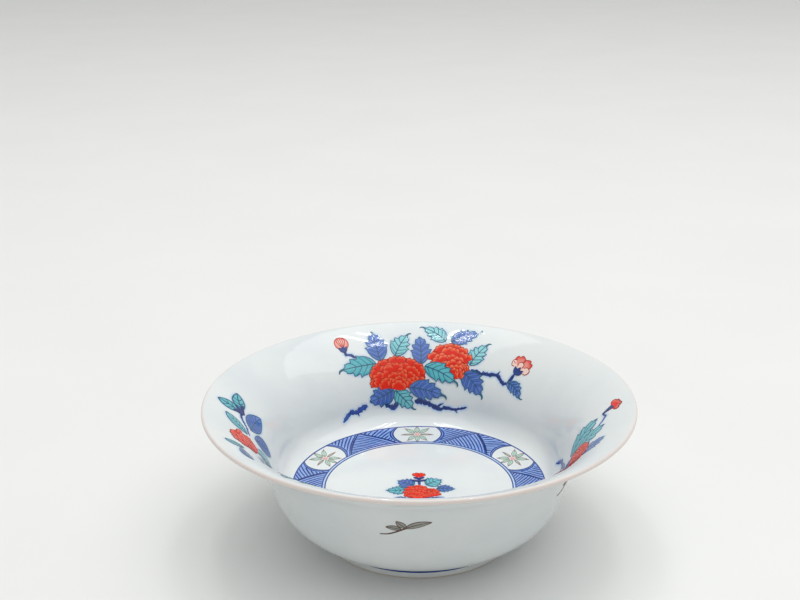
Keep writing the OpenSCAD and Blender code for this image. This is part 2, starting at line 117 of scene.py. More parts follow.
class BowlColours(PropertyGroup):
    """Colours of the glaze, the blue underglaze and the enamels"""
    porcelain: colour("Porcelain", "Glazed white body", 228, 232, 231)
    porcelain_cool: colour("Porcelain, cool", "Where the glaze lies thicker", 219, 225, 226)
    # The lip colour is a painted warm reflection round the rim's roll; the foot ring's bare clay grain also
    # uses it
    lip: colour("Lip", "Where the glaze thins over the rim", 226, 214, 208)
    bare_clay: colour("Bare clay", "Unglazed edge of the foot ring", 214, 199, 182)
    bleed: colour("Blue bleed", "Blue that has run into the glaze", 152, 192, 232)
    wash: colour("Blue wash", "Pale blue ground of the band", 146, 178, 236)
    wash_deep: colour("Blue wash, deep", "Where the wash pools", 104, 136, 210)
    cobalt: colour("Blue line", "Brush lines in strong blue", 56, 94, 180)
    cobalt_deep: colour("Blue line, deep", "Darkest part of the brush lines", 12, 38, 106)
    red: colour("Red enamel", "Petals of the flowers", 224, 34, 10)
    red_edge: colour("Red enamel, pale", "Thin enamel along the petals' edges", 250, 134, 92)
    red_line: colour("Red line", "Outlines of petals and buds", 134, 24, 22)
    cream: colour("Cream enamel", "Pale petals of the buds", 246, 222, 208)
    green: colour("Green enamel", "Thin enamel of the green leaves", 148, 214, 218)
    green_deep: colour("Green enamel, deep", "Where the green enamel pools", 34, 164, 178)
    leaf_line: colour("Leaf line", "Outlines and veins of the leaves", 24, 52, 96)
    pale_green: colour("Pale green enamel", "Petals in the medallions", 204, 232, 218)
    pale_green_deep: colour("Pale green enamel, deep", "Where it pools", 148, 206, 182)
    petal_line: colour("Medallion line", "Outlines of the medallions' petals", 104, 52, 50)
    blue: colour("Blue enamel", "Blue leaves", 104, 142, 216)
    blue_deep: colour("Blue enamel, deep", "Brush strokes in the blue leaves", 46, 78, 168)
    # The sprigs' three colours are their own enamel and outlines, greyed and darkened by painted shade of the
    # outer wall
    sprig: colour("Sprig enamel", "Leaves of the outside sprigs", 168, 170, 160)
    sprig_deep: colour("Sprig enamel, deep", "Darker strokes of the sprigs", 120, 124, 116)
    sprig_line: colour("Sprig line", "Outlines of the outside sprigs", 92, 52, 48)
    floor: colour("Floor", "Plain pale floor", 232, 232, 230)


# The bowl's section

def up(a):
    """The way square to a slope"""
    return -sin(a), cos(a)


def along(a):
    """The way along a slope, or at an angle round a point"""
    return cos(a), sin(a)


def moved(p, k, d):
    return p[0] + k * d[0], p[1] + k * d[1]


def between(p, q, t):
    """The point at a share of the way from p to q"""
    return p[0] + (q[0] - p[0]) * t, p[1] + (q[1] - p[1]) * t


def steps(a, b, n):
    return [a + (b - a) * i / n for i in range(n + 1)]


def round_about(rx, ry, n):
    """Points once round an oval"""
    return [(rx * cos(2 * pi * k / n), ry * sin(2 * pi * k / n)) for k in range(n)]


# The wall sprays are drawn for this run of wall, from this far below its upright start
DRAWN_WALL, DRAWN_FROM = 45.6, 1.7
# How far in front of the bowl's axis the middle of the floor spray lies
CENTRE_FRONT = 3.9
# How far the foot ring widens up to the body, and how far the hollow's edge stays inside the foot ring
FOOT_SPLAY, HOLLOW_CLEAR = 0.5, 0.5
# Rounding of the foot's standing edge, and how far the ring runs up into the body
FOOT_ROUND, FOOT_INTO = 0.9, 0.8


class Section:
    """The bowl's section in millimetres, with the inner and outer face as functions of the way along them"""

    def __init__(self, sizes):
        def mm(name):
            return getattr(sizes, name) / MM
        wall, lip, floor = sizes.wall_slope, sizes.lip_slope, sizes.floor_slope
        self.wall, self.lip, self.floor = wall, lip, floor
        self.lip_t, self.flare_r, self.corner_r = mm("lip_t"), mm("flare_r"), mm("corner_r")
        self.belly_r, self.foot_h = mm("belly_r"), mm("foot_h")
        self.lip_c = mm("rim_d") / 2 - self.lip_t / 2, mm("bowl_h") - self.lip_t / 2
        flare_end = moved(self.lip_c, self.lip_t / 2, up(lip))
        self.flare_c = moved(flare_end, -self.flare_r, up(lip))
        flare_start = moved(self.flare_c, self.flare_r, up(wall))
        run = [self.corner_r * (a - b) for a, b in zip(up(floor), up(wall))]
        rise = tan(floor / 2)
        self.wall_l = (flare_start[1] - run[1] - mm("floor_h") - rise * (flare_start[0] - run[0])) \
            / (sin(wall) - rise * cos(wall))
        self.wall_start = moved(flare_start, -self.wall_l, along(wall))
        well = self.wall_start[0] - run[0], self.wall_start[1] - run[1]
        self.corner_c = moved(well, self.corner_r, up(floor))
        self.floor_r = well[0] / sin(floor)
        self.floor_c = 0.0, mm("floor_h") + self.floor_r
        self.floor_l = self.floor_r * floor
        self.wall_s = self.floor_l + self.corner_r * (wall - floor)
        self.flare_s = self.wall_s + self.wall_l
        self.rim_s = self.flare_s + self.flare_r * (wall - lip)
        self.drawn_k = (self.rim_s - self.wall_s) / DRAWN_WALL
        opened = 1 - cos(wall - lip)
        self.out_r = self.flare_r + (self.lip_t * (1 - opened) - mm("wall_t")) / opened
        self.out_c = moved(self.lip_c, -self.lip_t / 2 - self.out_r, up(lip))
        wall_out = moved(self.out_c, self.out_r, up(wall))
        belly_top = self.foot_h + self.belly_r * (1 - cos(wall))
        self.belly_c = (wall_out[0] - (wall_out[1] - belly_top) / tan(wall) - self.belly_r * sin(wall),
                        self.foot_h + self.belly_r)
        self.foot_in = mm("foot_d") / 2 - mm("foot_w")
        self.foot_out = mm("foot_d") / 2

    def inner(self, s, h=0.0):
        """[radius, height] at s along the inner face from the middle, h clear of the glaze"""
        if s < self.floor_l:
            return moved(self.floor_c, h - self.floor_r, up(s / self.floor_r))
        if s < self.wall_s:
            a = self.floor + (s - self.floor_l) / self.corner_r
            return moved(self.corner_c, h - self.corner_r, up(a))
        if s < self.flare_s:
            return moved(moved(self.wall_start, s - self.wall_s, along(self.wall)), h, up(self.wall))
        a = self.wall - (s - self.flare_s) / self.flare_r
        return moved(self.flare_c, self.flare_r + h, up(a))

    def outer(self, v, h=0.0):
        """[radius, height] at v up the outer face of the flare, h clear of the glaze"""
        return moved(self.out_c, self.out_r - h, up(self.wall - v / self.out_r))

    def drawn(self, v):
        """Way along the inner face to a height as the wall sprays are drawn"""
        return self.wall_s + (v - DRAWN_FROM) * self.drawn_k

    def foot_face(self, z, h=0.0):
        """[radius, height] on the outside of the foot ring, h clear of the glaze"""
        return self.foot_out + FOOT_SPLAY * z / self.foot_h + h, z

    def outline(self, recess):
        """The whole section of the body from the underside's middle round to the floor's middle"""
        flat = min(self.foot_in, self.belly_c[0]) - HOLLOW_CLEAR
        top = self.foot_h + recess
        pts = [(flat * f, top) for f in (0.0, 0.3, 0.6, 0.8)]
        for a in steps(0, pi / 2, 8):
            fall = recess * (1 - cos(a))
            pts.append((flat - recess + fall * 0.5 + recess * sin(a) * 0.5, top - fall))
        pts += [moved(self.belly_c, -self.belly_r, up(a)) for a in steps(0, self.wall, 44)]
        pts += [moved(self.out_c, self.out_r, up(a)) for a in steps(self.wall, self.lip, 44)]
        lip = steps(self.lip + pi, self.lip + 2 * pi, 20)[1:-1]
        pts += [moved(self.lip_c, self.lip_t / 2, up(a)) for a in lip]
        inside = steps(self.rim_s, self.flare_s, 52) + steps(self.wall_s, self.floor_l, 26)
        return pts + [self.inner(s) for s in inside + steps(self.floor_l, 0, 30)[1:]]


# Drawing frames on the glaze

def about_axis(r, a, z):
    """A radius and a height in millimetres and an angle round the axis, as a place in the scene"""
    return r * cos(a) * MM, r * sin(a) * MM, z * MM


def on_face(face, azimuth, s, mid_r=None, way=-1):
    """A flat frame on a turned face: y along the face from s, x to the right seen from the axis,
    or seen from outside where way is 1"""
    mid_r = mid_r or face(s)[0]

    def place(x, y, h):
        r, z = face(s + y, h)
        return about_axis(r, radians(azimuth) + way * x / mid_r, z)
    return place


def on_wall(sec, azimuth, v):
    """A frame on the inner wall at a drawn height"""
    return on_face(sec.inner, azimuth, sec.drawn(v))


def laid(sec, azimuth, *points):
    """Points given as [azimuth from the spray's middle, drawn height] in a flat frame at their middle"""
    mid = (points[0][0] + points[-1][0]) / 2, (points[0][1] + points[-1][1]) / 2
    mid_r = sec.inner(sec.drawn(mid[1]))[0]
    flat = [(radians(mid[0] - a) * mid_r, v - mid[1]) for a, v in points]
    return on_wall(sec, azimuth + mid[0], mid[1]), flat


def on_floor(sec):
    """A flat frame on the floor spray's middle: x to the right, y to the back"""
    def place(x, y, h):
        y -= CENTRE_FRONT
        s = max(hypot(x, y), TINY)
        r, z = sec.inner(s, h)
        return r * x / s * MM, r * y / s * MM, z * MM
    return place


def shifted(place, x, y):
    """A frame with its middle moved by x and y"""
    return lambda u, v, h: place(x + u, y + v, h)


# Closed thin layers of paint

# How far a layer of paint reaches down into the glaze, and how far the band's wash does
SUNK, WASH_SUNK = -0.05, -0.04
# Which of a piece's finishes is the fill and which is the line
FILL, DRAWN = 0, 1
# The bend in degrees from which an edge of a piece stays sharp
SHARP = 48


def sideways(pts, i, loop=False):
    """The unit way across a line at one of its points"""
    last = len(pts) - 1
    (x0, y0), (x1, y1) = pts[i - 1 if i or loop else 0], pts[i + 1 if i < last else 0 if loop else last]
    run = max(hypot(x1 - x0, y1 - y0), TINY)
    return -(y1 - y0) / run, (x1 - x0) / run


class Coat:
    """Collects the closed layers of one painted piece, with a tone at each point"""

    def __init__(self):
        self.points, self.tones, self.faces, self.finishes = [], [], [], []

    def layer(self, place, rows, tops, tones, finish, base=SUNK, loop=False):
        """A closed layer over rows of flat points; loop joins each row's last point to its first"""
        n, m, first = len(rows), len(rows[0]), len(self.points)
        for level in (0, 1):
            for i, row in enumerate(rows):
                for j, (x, y) in enumerate(row):
                    self.points.append(place(x, y, base if level else tops[i][j]))
                    self.tones.append(tones[i][j])
        wide = m if loop else m - 1

        def at(level, i, j):
            return first + level * n * m + i * m + j % m
        faces = []
        for i in range(n - 1):
            for j in range(wide):
                faces.append((at(0, i, j), at(0, i, j + 1), at(0, i + 1, j + 1), at(0, i + 1, j)))
                faces.append((at(1, i, j), at(1, i + 1, j), at(1, i + 1, j + 1), at(1, i, j + 1)))
        for j in range(wide):
            faces.append((at(0, 0, j + 1), at(0, 0, j), at(1, 0, j), at(1, 0, j + 1)))
            faces.append((at(0, n - 1, j), at(0, n - 1, j + 1), at(1, n - 1, j + 1), at(1, n - 1, j)))
        if not loop:
            for i in range(n - 1):
                faces.append((at(0, i, 0), at(0, i + 1, 0), at(1, i + 1, 0), at(1, i, 0)))
                faces.append((at(0, i + 1, m - 1), at(0, i, m - 1), at(1, i, m - 1), at(1, i + 1, m - 1)))
        self.faces += faces
        self.finishes += [finish] * len(faces)

    def stroke(self, place, pts, widths, tops, finish, tone):
        """A brush line through flat points, with one width and height or one for each point"""
        n = len(pts)
        widths = widths if isinstance(widths, list) else [widths] * n
        tops = tops if isinstance(tops, list) else [tops] * n
        rows = []
        for i, p in enumerate(pts):
            across = sideways(pts, i)
            rows.append([moved(p, widths[i] / 2, across), moved(p, -widths[i] / 2, across)])
        self.layer(place, rows, [[t, t] for t in tops], [[tone, tone]] * n, finish)

    def blob(self, place, outline, middle, top, dome, tones):
        """A filled shape that widens from its middle to its outline; tones run from middle to edge"""
        shares = (0.04, 0.3, 0.55, 0.78, 0.93, 1.0)
        m, first = len(outline), len(self.points)
        rows = [[between(middle, p, f) for p in outline] for f in shares]
        tops = [[top + dome * (1 - f ** 4)] * m for f in shares]
        marks = [[tones[0] + (tones[1] - tones[0]) * f ** 2] * m for f in shares]
        self.layer(place, rows, tops, marks, FILL, loop=True)
        # The wall round the small hole in the middle gives way to two lids
        del self.faces[-2 * m::2], self.finishes[-m:]
        base = first + len(shares) * m
        self.faces += [tuple(range(first, first + m)), tuple(reversed(range(base, base + m)))]
        self.finishes += [FILL] * 2


def smooth(pts, n=5):
    """A curve through the points, with n steps to each stretch"""
    out = []
    for i in range(len(pts) - 1):
        p0, p1, p2, p3 = pts[max(0, i - 1)], pts[i], pts[i + 1], pts[min(len(pts) - 1, i + 2)]
        for k in range(n):
            t = k / n
            out.append(tuple(0.5 * (2 * b + (c - a) * t + (2 * a - 5 * b + 4 * c - d) * t * t
                                    + (3 * b - a - 3 * c + d) * t ** 3)
                             for a, b, c, d in zip(p0, p1, p2, p3)))
    return out + [tuple(pts[-1])]


def make_piece(name, coat, finishes, node):
    """One closed-mesh object from a coat, in place of a node of the frame"""
    mesh = bpy.data.meshes.new(name)
    mesh.from_pydata(coat.points, [], coat.faces)
    mesh.polygons.foreach_set("material_index", coat.finishes)
    marks = mesh.attributes.new("tone", 'FLOAT', 'POINT')
    marks.data.foreach_set("value", coat.tones)
    shaped = bmesh.new()
    shaped.from_mesh(mesh)
    bmesh.ops.recalc_face_normals(shaped, faces=shaped.faces)
    if any(not edge.is_manifold for edge in shaped.edges):
        raise RuntimeError(name + " isn't closed")
    shaped.to_mesh(mesh)
    shaped.free()
    mesh.shade_smooth()
    mesh.set_sharp_from_angle(angle=radians(SHARP))
    piece = bpy.data.objects.new(name, mesh)
    bpy.context.scene.collection.objects.link(piece)
    for finish in finishes:
        mesh.materials.append(finish)
    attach(piece, "root")
    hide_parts(node)


def painted(node, coat, slot, *finishes):
    make_piece(node + "_painted", coat, finishes, node)


# Turned pieces

def turned(coat, pts, turns, closed=False):
    """A surface turned about the bowl's axis through points of a section; ends on the axis become poles"""
    rings = []
    for r, z in pts:
        if r < TINY:
            rings.append([len(coat.points)])
            coat.points.append((0.0, 0.0, z * MM))
        else:
            rings.append(list(range(len(coat.points), len(coat.points) + turns)))
            coat.points += [about_axis(r, 2 * pi * k / turns, z) for k in range(turns)]
    following = rings[1:] + rings[:1] if closed else rings[1:]
    count = len(coat.faces)
    for a, b in zip(rings, following):
        for k in range(turns):
            j = (k + 1) % turns
            if len(a) == 1:
                coat.faces.append((a[0], b[j], b[k]))
            elif len(b) == 1:
                coat.faces.append((a[k], a[j], b[0]))
            else:
                coat.faces.append((a[k], a[j], b[j], b[k]))
    coat.tones += [0.0] * (len(coat.points) - len(coat.tones))
    coat.finishes += [0] * (len(coat.faces) - count)


def hoop(coat, face, a, b, top, turns, tone, finish=FILL):
    """A painted line right round the bowl between two places on a face"""
    grid = [[(2 * pi * k / turns, s) for k in range(turns)] for s in steps(a, b, 3)]

    def place(turn, s, h):
        r, z = face(s, h)
        return about_axis(r, turn, z)
    coat.layer(place, grid, [[top] * turns] * len(grid), [[tone] * turns] * len(grid), finish, loop=True)


# Finishes

class Finish:
    """A material under way, with its node tree, its shader and the place on the piece"""

    def __init__(self, name, roughness, ior=1.5):
        self.made = bpy.data.materials.new(name)
        self.made.use_nodes = True
        self.tree = self.made.node_tree
        self.shader = self.tree.nodes["Principled BSDF"].inputs
        self.shader["Roughness"].default_value = roughness
        self.shader["IOR"].default_value = ior
        self.where = self.add("TexCoord").outputs["Object"]

    def feed(self, socket, value):
        """Links a socket to another node, or gives it a plain value"""
        if isinstance(value, bpy.types.NodeSocket):
            self.tree.links.new(value, socket)
        else:
            socket.default_value = value

    def add(self, kind, **inputs):
        """A new node with its named inputs fed"""
        node = self.tree.nodes.new("ShaderNode" + kind)
        for name, value in inputs.items():
            self.feed(node.inputs[name.replace("_", " ")], value)
        return node

    def math(self, operation, *values):
        node = self.add("Math")
        node.operation = operation
        for socket, value in zip(node.inputs, values):
            self.feed(socket, value)
        return node.outputs[0]

    def noise(self, scale, detail=3.0, rough=0.5):
        node = self.add("TexNoise", Vector=self.where, Scale=scale, Detail=detail, Roughness=rough)
        return node.outputs["Fac"]

    def mixed(self, share, *colours):
        node = self.add("Mix")
        node.data_type = 'RGBA'
        self.feed(node.inputs[0], share)
        for socket, value in zip(node.inputs[6:8], colours):
            self.feed(socket, value if isinstance(value, bpy.types.NodeSocket) else (*value, 1.0))
        return node.outputs[2]

    def ramp(self, value, low, high):
        node = self.add("MapRange", Value=value, From_Min=low, From_Max=high)
        node.interpolation_type = 'SMOOTHSTEP'
        return node.outputs["Result"]

    def axes(self):
        return self.add("SeparateXYZ", Vector=self.where).outputs

    def tone(self):
        node = self.add("Attribute")
        node.attribute_name = "tone"
        return node.outputs["Fac"]

    def bump(self, height, depth):
        return self.add("Bump", Strength=1.0, Distance=depth, Height=height)

    def done(self, colour, grain=None, grain_depth=0.0):
        """Puts on the colour, the slow unevenness of a dipped glaze and a finer grain where there is one"""
        self.feed(self.shader["Base Color"], colour)
        face = self.bump(self.noise(GLAZE_WAVES, 1.0), GLAZE_DEPTH)
        if grain is not None:
            slow, face = face, self.bump(grain, grain_depth)
            self.feed(face.inputs["Normal"], slow.outputs["Normal"])
        self.feed(self.shader["Normal"], face.outputs["Normal"])
        return self.made


# Scale of the dipped glaze's waves and their depth in metres
GLAZE_WAVES, GLAZE_DEPTH = 95.0, 0.00009
# Depth in metres of the grain in enamel, in paint under the glaze and in bare clay
ENAMEL_GRAIN, UNDERGLAZE_GRAIN, CLAY_GRAIN = 0.00003, 0.000005, 0.00004


def porcelain_finish(col, sizes):
    """White glaze, cooler where it lies thick, with a painted warm reflection over the lip, tinted where blue
    has bled
    """
    fin = Finish("porcelain_glaze", 0.05)
    body = fin.mixed(fin.ramp(fin.noise(28.0), 0.3, 0.7), col.porcelain, col.porcelain_cool)
    x, y, _ = fin.axes()
    out = fin.math('SQRT', fin.math('MULTIPLY_ADD', x, x, fin.math('MULTIPLY', y, y)))
    ragged = fin.math('MULTIPLY_ADD', fin.noise(160.0), 0.0012, out)
    rim = sizes.rim_d / 2
    # Painted warm reflection: the lip colour laid over the glaze round the rim's outer edge
    body = fin.mixed(fin.ramp(ragged, rim - 0.0012, rim + 0.0006), body, col.lip)
    body = fin.mixed(fin.tone(), body, col.bleed)
    specks = fin.ramp(fin.noise(900.0, 0.0), 0.80, 0.86)
    return fin.done(fin.mixed(fin.math('MULTIPLY', specks, 0.35), body, col.bare_clay))


def foot_finish(col):
    """White glaze that stops short of the table, with bare clay under it"""
    fin = Finish("foot_glaze", 0.1)
    ragged = fin.math('MULTIPLY_ADD', fin.noise(320.0), 0.0006, fin.axes()[2])
    glazed = fin.ramp(ragged, 0.0009, 0.0012)
    grain = fin.noise(1400.0, 4.0)
    clay = fin.mixed(grain, col.bare_clay, col.lip)
    fin.feed(fin.shader["Roughness"], fin.math('MULTIPLY_ADD', glazed, -0.5, 0.6))
    return fin.done(fin.mixed(glazed, clay, col.porcelain), grain, CLAY_GRAIN)


def enamel_finish(name, pale, deep, roughness, grain, mottle, depth=ENAMEL_GRAIN, ior=1.5):
    """Paint that runs from pale to deep with its tone, mottled by the brush"""
    fin = Finish(name, roughness, ior)
    cloud = fin.noise(grain, 4.0, 0.6)
    share = fin.math('ADD', fin.tone(), fin.math('MULTIPLY_ADD', cloud, mottle, -mottle / 2))
    held = fin.add("Clamp", Value=share).outputs[0]
    return fin.done(fin.mixed(held, pale, deep), cloud, depth)


# Each paint as [name, pale colour, deep colour, roughness, grain, mottle, what differs from plain enamel]
UNDERGLAZE, SOFT, SOFTER = {"depth": UNDERGLAZE_GRAIN}, {"ior": 1.35}, {"ior": 1.3}
PAINTS = {
    "wash": ("blue_wash", "wash", "wash_deep", 0.08, 260.0, 0.8, UNDERGLAZE),
    "cobalt": ("blue_line", "cobalt", "cobalt_deep", 0.08, 520.0, 0.6, UNDERGLAZE),
    "red": ("red_enamel", "red_edge", "red", 0.24, 700.0, 0.35, SOFTER),
    "red_line": ("red_line", "red", "red_line", 0.26, 700.0, 0.3, SOFTER),
    "pink": ("pink_enamel", "cream", "red", 0.2, 600.0, 0.25, SOFT),
    "green": ("green_enamel", "green", "green_deep", 0.1, 380.0, 0.5, {}),
    "leaf_line": ("leaf_line", "green_deep", "leaf_line", 0.08, 500.0, 0.4, UNDERGLAZE),
    "pale_green": ("pale_green_enamel", "pale_green", "pale_green_deep", 0.12, 500.0, 0.5, {}),
    "petal_line": ("medallion_line", "red_line", "petal_line", 0.2, 600.0, 0.5, {}),
    "blue": ("blue_enamel", "blue", "blue_deep", 0.06, 420.0, 0.7, UNDERGLAZE),
    # The sprig paints carry painted shade: their colours are greyed and darkened as in the outer wall's
    # shadow
    "sprig": ("sprig_enamel", "sprig", "sprig_deep", 0.2, 600.0, 0.6, {}),
    "sprig_line": ("sprig_line", "sprig_deep", "sprig_line", 0.22, 600.0, 0.4, {}),
}


class Palette:
    """Every finish of the bowl, made once"""
    made = None

    def __init__(self, scene):
        col = scene.bowl_colours
        self.porcelain = porcelain_finish(col, scene.bowl_sizes)
        self.foot = foot_finish(col)
        for key, (name, pale, deep, roughness, grain, mottle, more) in PAINTS.items():
            colours = getattr(col, pale), getattr(col, deep)
            setattr(self, key, enamel_finish(name, *colours, roughness, grain, mottle, **more))

    def leaf(self, fill):
        """The finishes of a leaf: its fill, its lines and the glaze that the blue has bled into"""
        return [getattr(self, fill), self.leaf_line, self.porcelain]


def kit(context):
    """The sizes, the section and the finishes that every operator works from"""
    sizes = context.scene.bowl_sizes
    if Palette.made is None:
        Palette.made = Palette(context.scene)
    return sizes, Section(sizes), Palette.made


# Painted motifs

# Thickness of the enamel, how far it swells in the middle of a leaf, and how far a line stands on it
ENAMEL, DOME, LINE = 0.07, 0.08, 0.05
# How far the blue bleed stands on the glaze, how far each leaf stands above the last, and a flower's height
BLEED, NEXT_LEAF, FLOWER = 0.012, 0.004, 0.17


class Leaf:
    """A leaf in a flat frame, as a patch with t from base to tip and v from side to side"""

    def __init__(self, start, end, width, teeth, bend=0.0):
        self.start, self.width, self.teeth, self.bend = start, width, teeth, bend
        dx, dy = end[0] - start[0], end[1] - start[1]
        self.length = hypot(dx, dy)
        self.x, self.y = (dx / self.length, dy / self.length), (-dy / self.length, dx / self.length)
        # Each mark is a share of the length, a share of the width and how far the edge hooks to the tip
        marks = [(t, 1.0, 0.0) for t in (0.0, 0.03, 0.08, 0.15, 0.22, 0.3)]
        if teeth:
            step = 0.6 / teeth
            for i in range(teeth):
                t = 0.31 + i * step
                marks += [(t + 0.1 * step, 0.8 if i else 1.0, 0.0), (t + 0.45 * step, 1.0, 0.01),
                          (t + 0.78 * step, 1.2, 0.035), (t + 0.99 * step, 0.82, 0.0)]
            marks += [(0.955, 0.95, 0.0), (1.0, 1.0, 0.0)]
        else:
            marks += [(t, 1.0, 0.0) for t in (0.38, 0.47, 0.56, 0.66, 0.75, 0.83, 0.9, 0.95, 0.985, 1.0)]
        self.marks = marks

    def half(self, t):
        swell, round_off = (0.78, 0.85) if self.teeth else (0.9, 0.8)
        return self.width / 2 * max(0.0, sin(pi * min(1.0, t) ** swell)) ** round_off

    def at(self, t, v, scale=1.0, hook=0.0):
        far = (t + hook * v * v) * self.length
        off = v * max(0.06, self.half(t) * scale) + self.bend * self.length * 4 * t * (1 - t)
        return (self.start[0] + far * self.x[0] + off * self.y[0],
                self.start[1] + far * self.x[1] + off * self.y[1])

    def rows(self, cross, of=None):
        """The patch in rows across the leaf, or what the function gives at each of its places"""
        return [[of(t, v) if of else self.at(t, v, k, hook) for v in cross] for t, k, hook in self.marks]

    def side(self, v):
        return [row[0] for row in self.rows((v,))]

    def edge(self):
        """The plain outline without teeth, once round"""
        shares = steps(0.0, 1.0, 14)
        return [self.at(t, 1.0) for t in shares] + [self.at(t, -1.0) for t in reversed(shares[1:-1])]


def bleed(coat, place, outline, wide, strength, finish):
    """Blue that has run into the glaze round a painted shape, fading outwards"""
    n = len(outline)
    turn = sum(x0 * y1 - x1 * y0 for (x0, y0), (x1, y1) in zip(outline, outline[1:] + outline[:1]))
    far = -wide if turn > 0 else wide
    shares = ((-0.2, 1.0), (0.2, 1.0), (0.42, 0.6), (0.7, 0.22), (1.0, 0.0))
    out = [sideways(outline, i, loop=True) for i in range(n)]
    rows = [[moved(p, f * far, d) for p, d in zip(outline, out)] for f, _ in shares]
    tones = [[strength * k] * n for _, k in shares]
    coat.layer(place, rows, [[BLEED] * n] * len(shares), tones, finish, loop=True)


def paint_leaf(coat, place, leaf, level, tone, line_w, veins, tail, curl=1.0, stroke=0.0, halo=0.55):
    """A domed fill, the outline, a middle vein, side veins and a curled tail"""
    if halo:
        bleed(coat, place, leaf.edge(), 2.0, halo, 2)
    cross = (-1.0, -0.8, -0.5, -0.2, 0.0, 0.2, 0.5, 0.8, 1.0)

    def crown(t, v):
        return level + ENAMEL + DOME * (1 - v * v) * min(1.0, 2 * leaf.half(t) / 3)

    def shade(t, v):
        return tone + 0.3 * (0.6 - t) * (1 - abs(v)) + 0.15 * abs(v) ** 3
    coat.layer(place, leaf.rows(cross), leaf.rows(cross, crown), leaf.rows(cross, shade), FILL)
    edge = level + ENAMEL + LINE
    for side in (-1.0, 1.0):
        coat.stroke(place, leaf.side(side), line_w, edge, DRAWN, 0.8)
    shares = steps(0.0, 1.0, 12)
    coat.stroke(place, [leaf.at(t, 0.0) for t in shares], [line_w * (1.3 - 0.5 * t) for t in shares],
                [crown(t, 0.0) + LINE for t in shares], DRAWN, 0.85)
    if tail:
        size, tip = tail * leaf.length, leaf.at(0.96, 0.0)
        curve = [(0.0, 0.0), (0.3, 0.0), (0.62, 0.06), (0.9, 0.26), (1.0, 0.56)]
        pts = smooth([moved(moved(tip, size * a, leaf.x), size * curl * b, leaf.y) for a, b in curve], 3)
        swell = [sin(pi * min(1.0, 0.25 + 0.75 * f)) for f in steps(0, 1, len(pts) - 1)]
        coat.stroke(place, pts, [leaf.width * (0.045 + 0.075 * k) for k in swell], edge, DRAWN, 0.7)
    shares = steps(0, 1, 5)
    for i in range(veins):
        t0 = 0.06 + 0.7 * i / veins
        for side in (-1.0, 1.0):
            curve = [(t0 + 0.2 * q ** 1.3, side * 0.9 * q) for q in shares]
            coat.stroke(place, [leaf.at(t, v) for t, v in curve], [line_w * (0.9 - 0.3 * q) for q in shares],
                        [crown(t, v) + 0.03 for t, v in curve], DRAWN, 0.8)
            if stroke:
                coat.stroke(place, [leaf.at(t + 0.06, v * 0.97) for t, v in curve],
                            [stroke * (1 - 0.5 * q) for q in shares],
                            [crown(t, v) + 0.01 for t, v in curve], FILL, 1.1)


def paint_petal(coat, place, tip, facing, long, wide, level, tones, outline, lobes, line_tone=0.9):
    """A petal with a lobed outer edge, its tones running from base to edge"""
    base = moved(tip, -long, facing)
    across = steps(-1, 1, 12)
    shares = ((0.1, 0.0), (0.5, 0.0), (0.7, 0.2), (0.83, 0.8), (0.93, 1.0), (1.0, 0.4))

    def wave(u):
        return abs(sin(pi * u * lobes / 2))

    def at(u, q):
        lobe = 0.8 + 0.2 * wave(u) ** 0.7
        out = long * q * (1 + (lobe - 1) * q) * (1 - 0.3 * u * u)
        return moved(moved(base, out, facing), u * wide / 2 * q ** 0.6, (-facing[1], facing[0]))
    rows = [[at(u, q) for u in across] for q, _ in shares]
    tops = [[level + 0.06 * (1 - u * u) * q for u in across] for q, _ in shares]
    fade = [(tones[1] - tones[0]) * (0.45 + 0.55 * wave(u)) * (1 - 0.4 * u ** 4) for u in across]
    coat.layer(place, rows, tops, [[tones[0] + k * f for f in fade] for _, k in shares], FILL)
    rim = [(-1, 0.6), (-1, 0.85)] + [(u, 1.0) for u in across] + [(1, 0.85), (1, 0.6)]
    over = [level + 0.03 + 0.06 * (1 - u * u) for u, _ in rim]
    coat.stroke(place, [at(u, q) for u, q in rim], outline, over, DRAWN, line_tone)


def paint_peony(coat, place, rx, rise, drop, petal, level=FLOWER, outline=0.28, lean=0.0, edge=0.4, seed=1):
    """A full flower head: uneven fans of lobed petals about its foot, the smaller ones in front"""
    rng = Random(seed)
    foot = 0.5 * lean, -0.72 * drop

    def spot(a, share):
        low = max(0.0, -sin(a))
        rim = rx * cos(a) + lean * low * low, (rise if sin(a) > 0 else drop) * sin(a)
        return between(foot, rim, share)
    ground = [spot(2 * pi * k / 40, 0.95) for k in range(40)]
    coat.blob(place, ground, (0.0, 0.0), level - 0.03, 0.0, (1.1, 1.1))
    coat.stroke(place, [spot(a, 0.955) for a in steps(pi, 2 * pi, 24)], outline, level - 0.01, DRAWN, 0.9)
    arcs = max(2, round((rise - foot[1]) / petal * 1.8))
    for k in range(arcs):
        fine = [spot(a, 1.0 - k * 0.94 / arcs) for a in steps(radians(208), radians(-28 - 8 * lean), 90)]
        ways = [0.0]
        for p, q in zip(fine, fine[1:]):
            ways.append(ways[-1] + hypot(q[0] - p[0], q[1] - p[1]))
        count = max(2, round(ways[-1] / petal))
        line_w, line_tone = (0.64 * outline, 0.7) if k else (outline, 0.95)
        for i in range(count):
            want = (i + 0.5 + rng.uniform(-0.16, 0.16)) / count * ways[-1]
            x, y = fine[next(j for j, w in enumerate(ways) if w >= want)]
            facing = along(atan2(y - foot[1] + 0.4 * rise, x - foot[0]) + rng.uniform(-0.3, 0.3))
            size, lift = (rng.uniform(0.95, 1.25), petal * rng.uniform(-0.25, 0.25)) if k else (1.0, 0.0)
            paint_petal(coat, place, moved((x, y), lift, facing), facing, petal * size,
                        1.2 * size * min(petal, ways[-1] / count), level + 0.016 * k + 0.006 * (i % 2),
                        (1.05, edge), line_w, rng.choice((2, 2, 2, 3)), line_tone)


